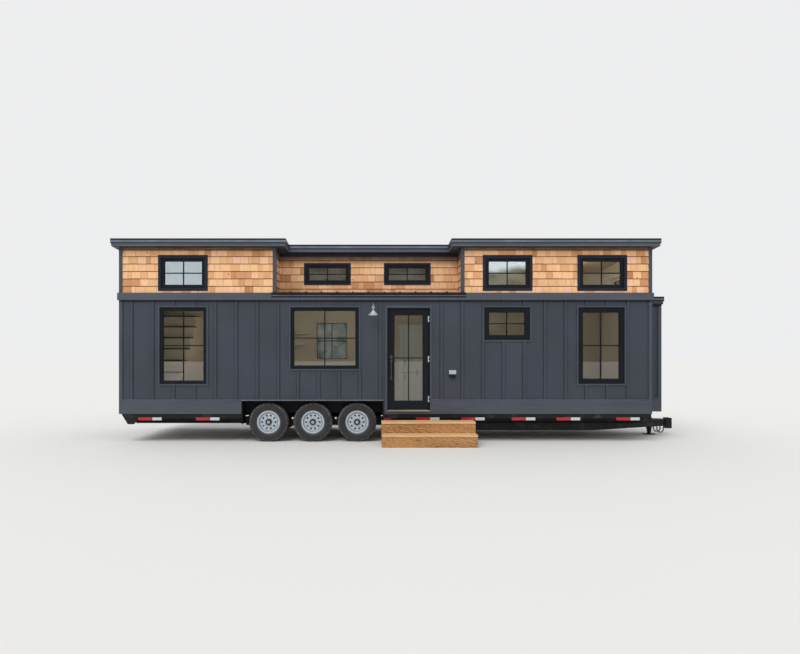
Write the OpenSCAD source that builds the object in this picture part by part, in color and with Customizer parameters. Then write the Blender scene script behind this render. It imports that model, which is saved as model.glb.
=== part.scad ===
// Tiny house on a triple-axle trailer, with timber steps at the door.
// Built in house coordinates: x runs from the rear corner to the hitch, y from the front siding
// face to the back, z up from the ground. place() moves all of it to the centre of its footprint.

/* [House body] */
// Length over the corner boards
body_l = 10363; // [9800:10:11000]
// Depth between the front and back siding faces
body_w = 2540; // [2400:10:2700]
// Thickness of an outside wall
wall_t = 125; // [100:5:150]
// Height of the underside of the walls and floor
deck_z = 547; // [520:1:600]
// Thickness of the floor
floor_t = 65; // [40:5:100]
// Height where the upper walls start
storey_z = 2835; // [2780:5:2900]
// Thickness of a sleeping loft's floor
loft_t = 70; // [50:5:120]

/* [Trim boards] */
// How far corner boards, skirts and casings stand proud
trim_t = 20; // [12:1:30]
// Width of a corner board's face
corner_w = 68; // [50:1:100]
// Height of the skirt board round the bottom
skirt_h = 288; // [200:2:320]
// Height of the underside of the belly band
band_z = 2759; // [2700:1:2800]
// Height of the belly band
band_h = 146; // [100:2:180]
// How far the belly band stands proud
band_t = 45; // [25:1:60]

/* [Roof] */
// Underside of the roof at its front edge
eave_z = 3780; // [3600:5:3900]
// Fall of the roof for each unit from front to back
roof_slope = 0.06; // [0.02:0.01:0.1]
// Thickness of the roof deck
roof_t = 118; // [80:2:160]
// Overhang past the siding at the front and back
roof_over = 132; // [80:2:200]
// Overhang past the siding at the two ends
end_over = 96; // [60:2:200]
// Overhang of the roof into the notch at its two ends
notch_over = 190; // [60:2:220]
// Thickness of the roof sheet
sheet_t = 12; // [6:1:20]
// Spacing of the ribs on the roof sheets
rib_gap = 305; // [200:5:400]
// Width of a roof rib
rib_w = 24; // [15:1:40]
// Height of a roof rib
rib_h = 20; // [10:1:30]
// Width of the trim over the sheets' edges
edge_w = 60; // [36:2:90]
// Height of the fascia board
fascia_h = 64; // [60:1:70]
// Height of the fascia's lower edge over the roof's underside
fascia_z = 6; // [0:1:8]
// Thickness of the fascia board
fascia_t = 20; // [12:1:30]
// Height of the metal drip edge above the fascia
drip_h = 56; // [52:1:70]
// How far the drip edge stands past the fascia
drip_t = 14; // [6:1:30]

/* [Notch in the upper storey] */
// Left end of the notch
notch_x = 3036; // [2600:2:3300]
// Length of the notch
notch_l = 3632; // [3300:1:4000]
// How far the notch is set back
notch_d = 500; // [400:5:700]
// Rise of the ledge roof from front to back
ledge_rise = 35; // [10:1:40]
// Height of the ledge's front trim
ledge_trim_h = 88; // [50:1:90]
// Distance from the notch's left end to the first rib of the ledge
ledge_rib_x = 290; // [60:5:300]
// Gap over the ledge roof under the corner boards beside it
ledge_gap = 14; // [14:1:25]
// Height of the frieze board over the notch's shingles
frieze_h = 62; // [40:1:90]

/* [Lower windows] */
// Top of the windows in the front wall
head_z = 2622; // [2600:1:2640]
// Width of a fixed window's frame
frame_edge = 58; // [40:1:70]
// Width of the frame of a window that opens
sash_edge = 90; // [70:1:110]
// Width of the casing round a lower window
casing_w = 28; // [20:1:60]
// How deep a window frame reaches into the wall
frame_d = 70; // [50:1:95]
// Thickness of a sealed pane
glass_t = 20; // [6:1:26]
// Left edge of the stair window
w1_x = 786; // [400:2:1000]
// Width of the stair window
w1_w = 913; // [700:1:1000]
// Sill of the stair window
w1_z = 1130; // [1000:5:1300]
// Left edge of the kitchen window
w2_x = 3332; // [3000:2:3500]
// Width of the kitchen window
w2_w = 1331; // [1000:1:1400]
// Sill of the kitchen window
w2_z = 1422; // [1200:2:1500]
// Left edge of the bath window
w4_x = 7099; // [6800:1:7400]
// Width of the bath window
w4_w = 891; // [700:1:1000]
// Sill of the bath window
w4_z = 1984; // [1700:1:2100]
// Distance from the hitch end to the bedroom window
w5_in = 534; // [480:2:600]
// Width of the bedroom window
w5_w = 901; // [700:1:1000]
// Sill of the bedroom window
w5_z = 1132; // [1000:2:1300]
// Left edge of the back kitchen window
bw_x = 3575; // [3300:5:3800]
// Width of the back kitchen window
bw_w = 821; // [600:1:1000]
// Sill of the back kitchen window
bw_z = 1549; // [1300:1:1700]
// Height of the back kitchen window
bw_h = 962; // [700:1:1000]

/* [Upper windows] */
// Width of an upper window's frame
upper_edge = 58; // [40:1:70]
// Width of the casing round a front upper window
upper_casing = 55; // [30:1:60]
// Width of an upper window
uw_w = 855; // [700:1:950]
// Height of an upper window
uw_h = 588; // [450:2:620]
// Sill of an upper window
uw_z = 2994; // [2970:1:3020]
// Left edge of the first upper window
uw1_x = 815; // [600:1:1000]
// Distance from the notch to the fourth upper window
uw4_in = 458; // [300:1:600]
// Distance from the hitch end to the fifth upper window
uw5_in = 543; // [480:1:650]
// Width of a window in the notch
nw_w = 884; // [700:1:950]
// Height of a window in the notch
nw_h = 380; // [300:5:450]
// Sill of a window in the notch
nw_z = 3144; // [3080:2:3200]
// Width of the casing round a window in the notch
notch_casing = 32; // [20:1:60]
// Left edge of the second upper window
uw2_x = 3574; // [3300:1:3800]
// Left edge of the third upper window
uw3_x = 5191; // [4800:1:5400]

/* [Door] */
// Left side of the doorway
door_x = 5214; // [5180:1:5300]
// Width of the doorway
door_w = 832; // [800:1:900]
// Top of the doorway
door_top = 2608; // [2500:2:2640]
// Height of the threshold's top
sill_z = 617; // [612:1:625]
// Thickness of a door jamb
jamb_t = 27; // [20:1:40]
// Gap round the door leaf
door_gap = 8; // [7:1:12]
// Thickness of the door leaf
leaf_t = 44; // [35:1:50]
// How far the leaf sits behind the siding face
leaf_in = 10; // [10:1:20]
// Width of the leaf's stiles and top rail
stile_w = 97; // [80:1:120]
// Height of the leaf's bottom rail
bottom_rail = 162; // [120:2:220]
// Width of the casing beside the door
door_casing = 38; // [20:1:60]
// Radius of a hinge knuckle
knuckle_r = 8; // [6:0.5:9]
// Radius of a hinge pin
pin_r = 4; // [3:0.5:5]
// Clearance between a hinge pin and its bore
pin_fit = 0.05; // [0.02:0.01:0.09]
// Length of a hinge
hinge_l = 112; // [80:2:140]
// Thickness of the threshold's nose
nose_t = 14; // [10:1:30]

/* [Wheels] */
// Place of the rearmost axle
axle_x = 2894; // [2850:1:2950]
// Distance between axles
axle_gap = 866; // [840:1:880]
// Outer radius of a tyre
tyre_r = 380; // [360:1:390]
// Width of a tyre
tyre_w = 235; // [205:5:245]
// Radius of the rim's bead seat
seat_r = 203; // [190:1:205]
// Width between the rim's flanges
rim_w = 164; // [140:2:170]
// Height of the rim's flange over its seat
flange_h = 19; // [14:1:22]
// How far a tyre sits in from the siding face
tyre_in = 35; // [20:1:60]
// Radius of an axle spindle
spindle_r = 22; // [18:1:25]
// How far the wheel's disc stands out from its middle
wheel_face = 62; // [50:1:70]
// Radius of the hub
hub_r = 62; // [50:1:70]
// Radius of the hub's cap
cap_r = 37; // [30:1:45]
// Radius of the brake drum
drum_r = 140; // [120:5:160]
// How far the brake drum reaches in from the wheel's middle
drum_end = 80; // [70:1:90]
// Gap between the brake drum and its plate
plate_gap = 8; // [5:1:12]
// Radius of an axle's tube
tube_r = 38; // [30:1:45]
// How far an axle's tube lies under its spindles
tube_drop = 142; // [140:1:150]
// Clearance between a spindle and its hub
hub_fit = 0.05; // [0.02:0.01:0.09]
// Ends of the wheel well in front of and behind the outer axles
well_end = 502; // [440:1:520]
// Top of the wheel well
well_top = 807; // [790:1:830]
// Depth of the wheel well
well_d = 340; // [320:5:360]
// Thickness of the wheel well's liner
liner_t = 12; // [6:1:20]

/* [Chassis] */
// Height of the side rails and cross-members
rail_h = 86; // [70:1:100]
// Width of a rail's flange
rail_w = 60; // [50:1:80]
// Thickness of the frame's steel webs and flanges
steel_t = 8; // [5:1:12]
// Spacing of the cross-members
member_gap = 406.4; // [380:0.2:450]
// Height of the lower edge of the plates at the rear end and at the ends of the wheel wells
plate_z = 346; // [330:1:400]
// Length of the slant at the rear end
slant_l = 123; // [80:1:140]
// Length of the gussets behind the slant
gusset_l = 250; // [180:5:300]
// How far a main beam is set in
beam_in = 380; // [370:5:420]
// Width of a main beam's flanges
beam_w = 100; // [80:5:120]
// Height of a main beam
beam_h = 134; // [100:2:140]
// Height of the tongue channels
tongue_h = 146; // [120:2:170]
// Width of the tongue channels' flanges
tongue_w = 72; // [60:1:80]
// How far the tongue channels reach back under the house
tongue_in = 5063; // [4400:1:5200]
// Distance from the hitch end back to where the tongue channels start to converge
tongue_bend_in = 1027; // [800:1:1400]
// How far the tongue channels reach past the hitch end
tongue_out = 797; // [700:1:900]
// Distance from the tongue's end to the coupler's nose
coupler_l = 204; // [180:2:240]
// Distance from the hitch end to the tongue jack
jack_out = 517; // [500:1:540]
// Radius of the tongue jack
jack_r = 48; // [30:1:50]
// Height of the jack's head
jack_top = 520; // [480:5:600]
// Distance from the hitch end to the safety chains
chain_out = 722; // [710:1:740]
// Width of a leaf spring
leaf_w = 60; // [45:1:75]
// Thickness of one spring leaf
leaf_h = 8; // [6:1:10]
// Number of leaves in a spring
leaves = 3; // [2:1:3]
// Length of a spring hanger
hanger_w = 140; // [120:2:160]
// Radius of a spring bolt
bolt_r = 8; // [6:1:10]
// Clearance between a spring's eye and its bolt
bolt_fit = 0.3; // [0.1:0.1:0.6]
// Radius of the hitch ball's socket
socket_r = 29.8; // [24:0.1:32]
// Depth of the hitch ball's socket
socket_d = 45; // [30:1:50]

/* [Closet on the hitch end] */
// How far the closet stands out from the end wall
closet_l = 427; // [300:1:440]
// Width of the closet
closet_w = 1490; // [1200:10:1600]
// Top of the closet's wall at its front
closet_top = 2684; // [2600:2:2690]
// Thickness of the closet's walls
closet_t = 60; // [40:2:90]
// Overhang of the closet's roof
closet_over = 57; // [46:1:80]
// Thickness of the closet's roof
closet_roof_t = 154; // [140:1:170]
// Height of the trim over the closet roof's edges
closet_trim_h = 34; // [20:1:40]
// Height of the closet's fascia board over its wall
closet_fascia_z = 37; // [20:1:45]
// Height of the closet's fascia board
closet_fascia_h = 58; // [50:1:60]

/* [Kitchen] */
// Left end of the kitchen's cabinets
kitchen_x = 2700; // [2500:10:2900]
// Left side of the tall cabinets
tall_x0 = 5551; // [5520:1:5650]
// Right side of the tall cabinets
tall_x1 = 6400; // [6200:10:6600]
// Depth of the cabinets
kitchen_d = 600; // [500:10:620]
// Height of the worktop
counter_z = 940; // [880:5:960]
// Top of the tall cabinets
tall_z = 2382; // [2200:2:2500]
// Left end of the shelves
shelf_x = 2500; // [2350:50:2600]
// Gap between the lower shelf and the back window
shelf_1_gap = 230; // [100:5:400]
// Gap between the upper shelf and the back window
shelf_2_gap = 111; // [80:1:400]
// Thickness of a shelf
shelf_t = 30; // [18:1:40]
// Depth of the shelves beside the window
shelf_d = 250; // [200:5:300]
// Height of the lower shelf
shelf_1_z = 1960; // [1900:5:2000]
// Height of the upper shelf
shelf_2_z = 2210; // [2150:5:2300]

/* [Steps] */
// Left end of the steps
steps_x = 5097; // [5000:1:5200]
// Width of the steps
steps_w = 1750; // [1000:10:1900]
// Gap between the steps and the siding
steps_gap = 200; // [60:5:300]
// Height of the lower tread
step_1_z = 234; // [180:1:260]
// Height of the upper tread
step_2_z = 447; // [400:1:500]
// Depth of the upper tread
step_2_d = 310; // [250:5:400]
// Depth of the lower tread
step_1_d = 260; // [220:5:400]
// How far a step's boards stand past its riser
step_nose = 12; // [6:1:20]
// Height of the upper riser behind the lower tread
step_lap = 90; // [40:5:100]
// Thickness of the step boards
board_t = 38; // [25:1:45]
// Width of the steps' side boards
side_t = 38; // [25:1:45]

/* [Loft stair] */
// Width of the loft stair
stair_w = 815; // [600:5:850]
// Number of risers
risers = 9; // [8:1:10]
// Gap between the front wall and the first riser
stair_in = 125; // [60:5:200]
// Thickness of a loft stair's tread
tread_t = 30; // [20:1:45]
// How far a tread stands past its riser
nosing = 20; // [10:1:30]

/* [Fittings] */
// Place of the wall lamp
lamp_x = 4942; // [4900:1:5000]
// Height of the lamp shade's rim
lamp_z = 2453; // [2400:1:2500]
// Radius of the lamp shade
shade_r = 100; // [70:1:120]
// Height of the lamp shade
shade_h = 101; // [70:1:120]
// Distance from the siding to the middle of the shade
lamp_out = 190; // [150:5:250]
// Height of the lamp's gooseneck over its shade
neck_h = 136; // [110:1:160]
// Radius of the gooseneck's tube
neck_r = 7; // [5:0.5:9]
// Left edge of the outlet cover
outlet_x = 6414; // [6300:1:6500]
// Width of the outlet cover
outlet_w = 135; // [100:1:160]
// Bottom of the outlet cover
outlet_z = 1250; // [1200:1:1300]
// Height of the outlet cover
outlet_h = 148; // [100:1:160]
// Height of the box under the outlet's hood
outlet_box_h = 69; // [50:1:80]

/* [Hidden] */
$fn = 64;
siding = [0.27, 0.28, 0.32];
trim_paint = [0.31, 0.33, 0.37];
cedar = [0.78, 0.59, 0.43];
black_trim = [0.10, 0.11, 0.15];
chassis_paint = [0.11, 0.11, 0.12];
wall_x0 = trim_t;
wall_x1 = body_l - trim_t;
room_x0 = wall_x0 + wall_t;
room_x1 = wall_x1 - wall_t;
room_y0 = wall_t;
room_y1 = body_w - wall_t;
mid_y = body_w / 2;
floor_z = deck_z + floor_t;
band_top = band_z + band_h;
notch_x1 = notch_x + notch_l;
door_x1 = door_x + door_w;
roof_x0 = wall_x0 - end_over;
roof_x1 = wall_x1 + end_over;
roof_y0 = -roof_over;
roof_y1 = body_w + roof_over;
cut_x0 = notch_x + notch_over;
cut_x1 = notch_x1 - notch_over;
cut_y = notch_d - roof_over;
rail_z = deck_z - rail_h;
beam_z = rail_z - beam_h;
tongue_z = beam_z - tongue_h;
axles = [axle_x, axle_x + axle_gap, axle_x + 2 * axle_gap];
well_x0 = axles[0] - well_end;
well_x1 = axles[2] + well_end;
wheel_y = tyre_in + tyre_w / 2;
closet_y0 = mid_y - closet_w / 2;
closet_y1 = body_w - closet_y0;
closet_x1 = body_l + closet_l - trim_t;
tongue_x = body_l - tongue_in;
tongue_bend_x = body_l - tongue_bend_in;
tongue_end_x = body_l + tongue_out;
jack_x = body_l + jack_out;
chain_x = body_l + chain_out;
coupler_x1 = tongue_end_x + coupler_l;
w5_x = body_l - w5_in - w5_w;
uw4_x = notch_x1 + uw4_in;
uw5_x = body_l - uw5_in - uw_w;
roof_edge_out = fascia_t + drip_t;
closet_drip_h = closet_roof_t - closet_fascia_z - closet_fascia_h + 1;
axle_z = tyre_r;
spring_y = beam_in + beam_w / 2;
spring_z = axle_z - tube_drop + tube_r;
bolt_in = hanger_w / 2 - bolt_r - 12;
eye_x = axle_gap / 2 - bolt_in;
eye_r = bolt_r + bolt_fit + leaf_h;
eye_z = spring_z + leaves * leaf_h + bolt_r + bolt_fit;
rise = (storey_z - floor_z) / risers;
run = (room_y1 - room_y0 - stair_in) / risers;
steps_y0 = -steps_gap - step_2_d - step_1_d;
centre_x = (roof_x0 - fascia_t - drip_t + coupler_x1) / 2;
centre_y = (steps_y0 + roof_y1 + fascia_t + drip_t) / 2;

// Heights of the roof's underside, along its fall from front to back
function roof_under(y) = eave_z - roof_slope * (y + roof_over);
// Heights of the closet roof's underside, with the same fall
function closet_under(y) = closet_top - roof_slope * (y - closet_y0);

// A window is its left edge, its sill, its width, its height and the width of its frame
w5 = [w5_x, w5_z, w5_w, head_z - w5_z, sash_edge];
lower_front = [[w1_x, w1_z, w1_w, head_z - w1_z, frame_edge], [w2_x, w2_z, w2_w, head_z - w2_z, frame_edge],
    [w4_x, w4_z, w4_w, head_z - w4_z, sash_edge], w5];
lower_back = [[bw_x, bw_z, bw_w, bw_h, frame_edge], w5];
upper_front = [for (x = [uw1_x, uw4_x, uw5_x]) [x, uw_z, uw_w, uw_h, upper_edge]];
upper_back = [for (x = [uw1_x, uw4_x, uw5_x]) [x, uw_z, uw_w, nw_h, upper_edge]];
upper_notch = [for (x = [uw2_x, uw3_x]) [x, nw_z, nw_w, nw_h, upper_edge]];
upper_end = [[mid_y - uw_w / 2, uw_z, uw_w, nw_h, upper_edge]];
hinge_zs = [837, 1615, 2393];
leaf_x0 = door_x + jamb_t + door_gap;
leaf_x1 = door_x1 - jamb_t - door_gap;
leaf_z0 = sill_z + 2 * door_gap;
leaf_z1 = door_top - jamb_t - door_gap;
pin_x = leaf_x1 + door_gap / 2;
pin_y = leaf_in - knuckle_r - 1;

module place() {
    translate([-centre_x, -centre_y, 0]) children();
}

// A block between two opposite corners
module block(from, to) {
    translate(from) cube(to - from);
}

// An outline in y and z, carried along x
module along_x(x0, x1) {
    translate([x0, 0, 0]) rotate([90, 0, 90]) linear_extrude(x1 - x0) children();
}

// An outline in x and z, carried along y
module along_y(y0, y1) {
    translate([0, y1, 0]) rotate([90, 0, 0]) linear_extrude(y1 - y0) children();
}

// Copies of a piece on the front and on the back
module both_sides() {
    children();
    translate([0, body_w, 0]) mirror([0, 1, 0]) children();
}

// A wall's own frame is x along it, y into it and z up
module on_back() {
    translate([0, body_w, 0]) mirror([0, 1, 0]) children();
}

module on_notch() {
    translate([0, notch_d, 0]) children();
}

module on_left_end() {
    translate([wall_x0, 0, 0]) mirror([1, -1, 0]) children();
}

module on_right_end() {
    translate([wall_x1, 0, 0]) rotate([0, 0, 90]) children();
}

// Upright wall from z0 up to the roof, between two depths
module wall_to_roof(x0, x1, y0, y1, z0) {
    along_x(x0, x1) polygon([[y0, z0], [y1, z0], [y1, roof_under(y1)], [y0, roof_under(y0)]]);
}

// Hole that a window fills
module window_hole(w) {
    translate([w[0], -1, w[1]]) cube([w[2], wall_t + 2, w[3]]);
}

// Frame of even width, with its outside at x, z and its size w by h
module ring(x, z, w, h, edge, y0, y1) {
    along_y(y0, y1) translate([x, z]) difference() {
        square([w, h]);
        translate([edge, edge]) square([w - 2 * edge, h - 2 * edge]);
    }
}

module window_frame(w) {
    ring(w[0], w[1], w[2], w[3], w[4], 0, frame_d);
}

module window_pane(w) {
    translate([w[0] + w[4], frame_d / 2 - glass_t / 2, w[1] + w[4]])
        cube([w[2] - 2 * w[4], glass_t, w[3] - 2 * w[4]]);
}

module window_casing(w, wide) {
    ring(w[0] - wide, w[1] - wide, w[2] + 2 * wide, w[3] + 2 * wide, wide, -trim_t, 0);
}

// I-shaped steel outline, centred across, from z up
module i_outline(w, h) {
    translate([-w / 2, 0]) square([w, steel_t]);
    translate([-w / 2, h - steel_t]) square([w, steel_t]);
    translate([-steel_t / 2, 0]) square([steel_t, h]);
}

// C-shaped steel outline with its back at y = 0
module c_outline(w, h) {
    difference() {
        square([w, h]);
        translate([steel_t, steel_t]) square([w, h - 2 * steel_t]);
    }
}

// Rails along both sides, open at the wheel wells, with gussets and a slanted plate at the rear
module side_rails() {
    x0 = wall_x0 + trim_t;
    x1 = x0 + slant_l;
    color(chassis_paint) place() {
        both_sides() {
            along_x(x1, well_x0 - liner_t) translate([0, rail_z]) c_outline(rail_w, rail_h);
            along_x(well_x1 + liner_t, wall_x1) translate([0, rail_z]) c_outline(rail_w, rail_h);
            along_y(0, steel_t) polygon([[x0, deck_z], [x1, plate_z], [x0 + gusset_l, plate_z],
                [x0 + gusset_l + rail_h, rail_z + steel_t], [x0 + gusset_l + rail_h, deck_z]]);
        }
        along_y(0, body_w) polygon([[x0, deck_z], [x1, plate_z], [x1 + steel_t, plate_z],
            [x0 + steel_t, deck_z]]);
    }
}

// Cross-members and the rail at the hitch end
module cross_members() {
    color(chassis_paint) place() {
        for (x = [wall_x0 + member_gap : member_gap : wall_x1 - member_gap / 2]) {
            by_well = x > well_x0 - rail_w && x < well_x1 + rail_w;
            y = by_well ? well_d + liner_t : rail_w;
            translate([x, 0, rail_z]) along_y(y, body_w - y) i_outline(rail_w, rail_h);
        }
        block([wall_x1 - steel_t, rail_w, rail_z], [wall_x1, body_w - rail_w, deck_z]);
    }
}

// Two main beams under the cross-members
module main_beams() {
    color(chassis_paint) place() both_sides()
        translate([0, beam_in + beam_w / 2, 0])
            along_x(wall_x0 + trim_t + slant_l + steel_t, wall_x1)
                translate([0, beam_z]) i_outline(beam_w, beam_h);
}

// Plan of one tongue channel, as wide as w
module tongue_plan(w) {
    start = beam_in + (beam_w - tongue_w) / 2;
    end = mid_y - 8 - tongue_w;
    polygon([[tongue_x, start], [tongue_bend_x, start], [tongue_end_x, end],
        [tongue_end_x, end + w], [tongue_bend_x, start + w], [tongue_x, start + w]]);
}

// Two channels under the beams that meet at the hitch, and the plate that holds the jack
module tongue() {
    plate_x = 120;
    plate_y = 210;
    color(chassis_paint) place() {
        both_sides() {
            translate([0, 0, tongue_z]) linear_extrude(steel_t) tongue_plan(tongue_w);
            translate([0, 0, tongue_z]) linear_extrude(tongue_h) tongue_plan(steel_t);
            translate([0, 0, beam_z - steel_t]) linear_extrude(steel_t) tongue_plan(tongue_w);
        }
        difference() {
            block([jack_x - plate_x, mid_y - plate_y, beam_z],
                [jack_x + plate_x, mid_y + plate_y, beam_z + steel_t]);
            translate([jack_x, mid_y, beam_z - 1]) cylinder(h = steel_t + 2, r = jack_r + 0.3);
        }
    }
}

// Arm, channel bracket and ball coupler at the end of the tongue
module coupler() {
    plate_t = 12;
    plate_w = 176;
    bracket_x = tongue_end_x + 52;
    bracket_z0 = 128;
    bracket_z1 = 352;
    cheek_y = 62;
    ball_x = coupler_x1 - 50;
    ball_z = 215;
    housing_h = 85;
    housing_r = 50;
    arm_w = 76;
    color(chassis_paint) place() difference() {
        union() {
            block([tongue_end_x, mid_y - plate_w / 2, tongue_z],
                [tongue_end_x + plate_t, mid_y + plate_w / 2, beam_z]);
            block([tongue_end_x, mid_y - arm_w / 2, ball_z], [ball_x, mid_y + arm_w / 2, ball_z + housing_h]);
            block([bracket_x, mid_y - cheek_y, bracket_z0],
                [bracket_x + plate_t, mid_y + cheek_y, bracket_z1]);
            for (side = [-1, 1]) translate([0, mid_y + side * (cheek_y + steel_t / 2), 0])
                block([bracket_x, -steel_t / 2, bracket_z0], [ball_x + 24, steel_t / 2, bracket_z1]);
            translate([ball_x, mid_y, ball_z]) cylinder(h = housing_h, r = housing_r);
            block([ball_x - 50, mid_y - 8, ball_z], [ball_x + 20, mid_y + 8, ball_z + housing_h + 26]);
        }
        translate([ball_x, mid_y, ball_z - 1]) cylinder(h = socket_d + 1, r = socket_r);
    }
}

// Two safety chains hanging in a loop under the tongue's end
module safety_chains() {
    link_r = 18;
    loop_r = 70;
    loop_z = 118;
    chain_y = 77;
    color([0.20, 0.17, 0.13]) place() for (side = [-1, 1])
        translate([chain_x, mid_y + side * chain_y, loop_z]) {
            rotate([90, 0, 0]) rotate([0, 0, 180]) rotate_extrude(angle = 180)
                translate([loop_r, 0]) circle(link_r);
            for (end = [-1, 1]) translate([end * loop_r, 0, 0]) cylinder(h = tongue_z - loop_z, r = link_r);
        }
}

// Drop-leg jack through the tongue plate
module jack() {
    foot = 200;
    foot_t = 12;
    leg_l = 50;
    collar_r = 75;
    collar_h = 70;
    ring_h = 12;
    color(chassis_paint) place() translate([jack_x, mid_y, 0]) {
        translate([-foot / 2, -foot / 2, 0]) cube([foot, foot, foot_t]);
        translate([0, 0, foot_t]) cylinder(h = leg_l, r = jack_r - 10);
        translate([0, 0, foot_t + leg_l]) cylinder(h = jack_top - foot_t - leg_l, r = jack_r);
        translate([0, 0, tongue_z - collar_h]) cylinder(h = collar_h, r1 = jack_r, r2 = collar_r);
        translate([0, 0, beam_z + steel_t]) cylinder(h = ring_h, r = jack_r + 20);
        translate([0, 0, jack_top]) cylinder(h = ring_h, r = jack_r + 6);
    }
}

// Moves a wheel to axle i on the front; in its own frame a wheel's axis is z, with its face up
module at_axle(i) {
    translate([axles[i], wheel_y, axle_z]) rotate([90, 0, 0]) children();
}

// Three drop axles with their brake plates and spindles
module axles() {
    arm_w = 90;
    arm_d = 60;
    plate_t = 12;
    plate_r = 130;
    arm_y = wheel_y + drum_end + plate_gap + plate_t;
    color(chassis_paint) place() for (x = axles) {
        translate([x, arm_y + arm_d / 2, axle_z - tube_drop]) rotate([-90, 0, 0])
            cylinder(h = body_w - 2 * arm_y - arm_d, r = tube_r);
        both_sides() {
            block([x - arm_w / 2, arm_y, axle_z - tube_drop - tube_r],
                [x + arm_w / 2, arm_y + arm_d, axle_z + tube_r]);
            translate([x, arm_y, axle_z]) rotate([90, 0, 0]) cylinder(h = plate_t, r = plate_r);
            translate([x, arm_y, axle_z]) rotate([90, 0, 0])
                cylinder(h = arm_y - wheel_y + 50, r = spindle_r);
        }
    }
}

// Leaf springs on the axle tubes, with an eye at each end of the longest leaf
module leaf_springs() {
    shorter = 110;
    color(chassis_paint) place() both_sides() for (x = axles) translate([x, spring_y, 0]) {
        for (n = [0 : leaves - 1]) {
            half = eye_x - (leaves - 1 - n) * shorter;
            z = spring_z + n * leaf_h;
            block([-half, -leaf_w / 2, z], [half, leaf_w / 2, z + leaf_h]);
        }
        for (side = [-1, 1]) translate([side * eye_x, 0, eye_z]) difference() {
            along_y(-leaf_w / 2, leaf_w / 2) circle(eye_r);
            along_y(-leaf_w, leaf_w) circle(bolt_r + bolt_fit);
        }
    }
}

// Hangers under the beams, with a bolt through each spring's eye
module spring_hangers() {
    cheek_y = leaf_w / 2 + 2;
    low_z = eye_z - bolt_r - 14;
    color(chassis_paint) place() both_sides() for (n = [0 : 3])
        translate([axles[0] + (n - 0.5) * axle_gap, spring_y, 0]) {
            for (side = [-1, 1]) translate([0, side * (cheek_y + steel_t / 2), 0])
                block([-hanger_w / 2, -steel_t / 2, low_z], [hanger_w / 2, steel_t / 2, beam_z]);
            for (side = n == 0 ? [1] : n == 3 ? [-1] : [-1, 1]) translate([side * bolt_in, 0, eye_z])
                along_y(-cheek_y - 1, cheek_y + 1) circle(bolt_r);
        }
}

// Liners that close the wheel wells towards the room, with plates hanging at their ends
module wheel_wells() {
    color([0.16, 0.16, 0.17]) place() both_sides() {
        difference() {
            block([well_x0 - liner_t, -trim_t, deck_z],
                [well_x1 + liner_t, well_d + liner_t, well_top + liner_t]);
            block([well_x0, -trim_t - 1, deck_z - 1], [well_x1, well_d, well_top]);
        }
        for (x = [well_x0 - liner_t, well_x1])
            block([x, 0, plate_z], [x + liner_t, well_d + liner_t, deck_z]);
    }
}

// Opening in a front or back wall round the wheel well's liner
module well_hole() {
    block([well_x0 - liner_t, -1, deck_z - 1], [well_x1 + liner_t, wall_t + 1, well_top + liner_t]);
}

// Floor between the walls, cut round the wheel wells
module floor() {
    color([0.55, 0.45, 0.35]) place() difference() {
        block([room_x0, room_y0, deck_z], [room_x1, room_y1, floor_z]);
        both_sides() block([well_x0 - liner_t, wall_t - 1, deck_z - 1],
            [well_x1 + liner_t, well_d + liner_t, floor_z + 1]);
    }
}

// Front wall from the rear corner to the doorway, open over the wheels
module front_wall_left() {
    color(siding) place() difference() {
        block([wall_x0, 0, deck_z], [door_x, wall_t, storey_z]);
        well_hole();
        for (w = [lower_front[0], lower_front[1]]) window_hole(w);
    }
}

// Front wall from the doorway to the hitch end
module front_wall_right() {
    color(siding) place() difference() {
        block([door_x1, 0, deck_z], [wall_x1, wall_t, storey_z]);
        for (w = [lower_front[2], lower_front[3]]) window_hole(w);
    }
}

module front_wall_over_door() {
    color(siding) place() block([door_x, 0, door_top], [door_x1, wall_t, storey_z]);
}

// Shingled front walls of the two lofts
module upper_front_walls() {
    color(cedar) place() {
        difference() {
            wall_to_roof(wall_x0, notch_x, 0, wall_t, storey_z);
            window_hole(upper_front[0]);
        }
        difference() {
            wall_to_roof(notch_x1, wall_x1, 0, wall_t, storey_z);
            for (w = [upper_front[1], upper_front[2]]) window_hole(w);
        }
    }
}

// Shingled wall at the back of the notch, with the short walls at its two ends
module notch_wall() {
    color(cedar) place() {
        difference() {
            wall_to_roof(notch_x - wall_t, notch_x1 + wall_t, notch_d, notch_d + wall_t, storey_z);
            on_notch() for (w = upper_notch) window_hole(w);
        }
        for (x = [notch_x - wall_t, notch_x1]) wall_to_roof(x, x + wall_t, wall_t, notch_d, storey_z);
    }
}

// Back wall over its whole height, open over the wheels
module back_wall() {
    color(siding) place() difference() {
        wall_to_roof(wall_x0, wall_x1, room_y1, body_w, deck_z);
        on_back() well_hole();
        on_back() for (w = concat(lower_back, upper_back)) window_hole(w);
    }
}

// End walls between the front and back walls
module end_walls() {
    color(siding) place() {
        difference() {
            wall_to_roof(wall_x0, room_x0, room_y0, room_y1, deck_z);
            on_left_end() for (w = upper_end) window_hole(w);
        }
        difference() {
            wall_to_roof(room_x1, wall_x1, room_y0, room_y1, deck_z);
            on_right_end() for (w = upper_end) window_hole(w);
        }
    }
}

// Strip of the sloping roof between two depths, from a to b above its underside
module roof_strip(x0, x1, y0, y1, a, b) {
    along_x(x0, x1) polygon([[y0, roof_under(y0) + a], [y1, roof_under(y1) + a],
        [y1, roof_under(y1) + b], [y0, roof_under(y0) + b]]);
}

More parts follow.
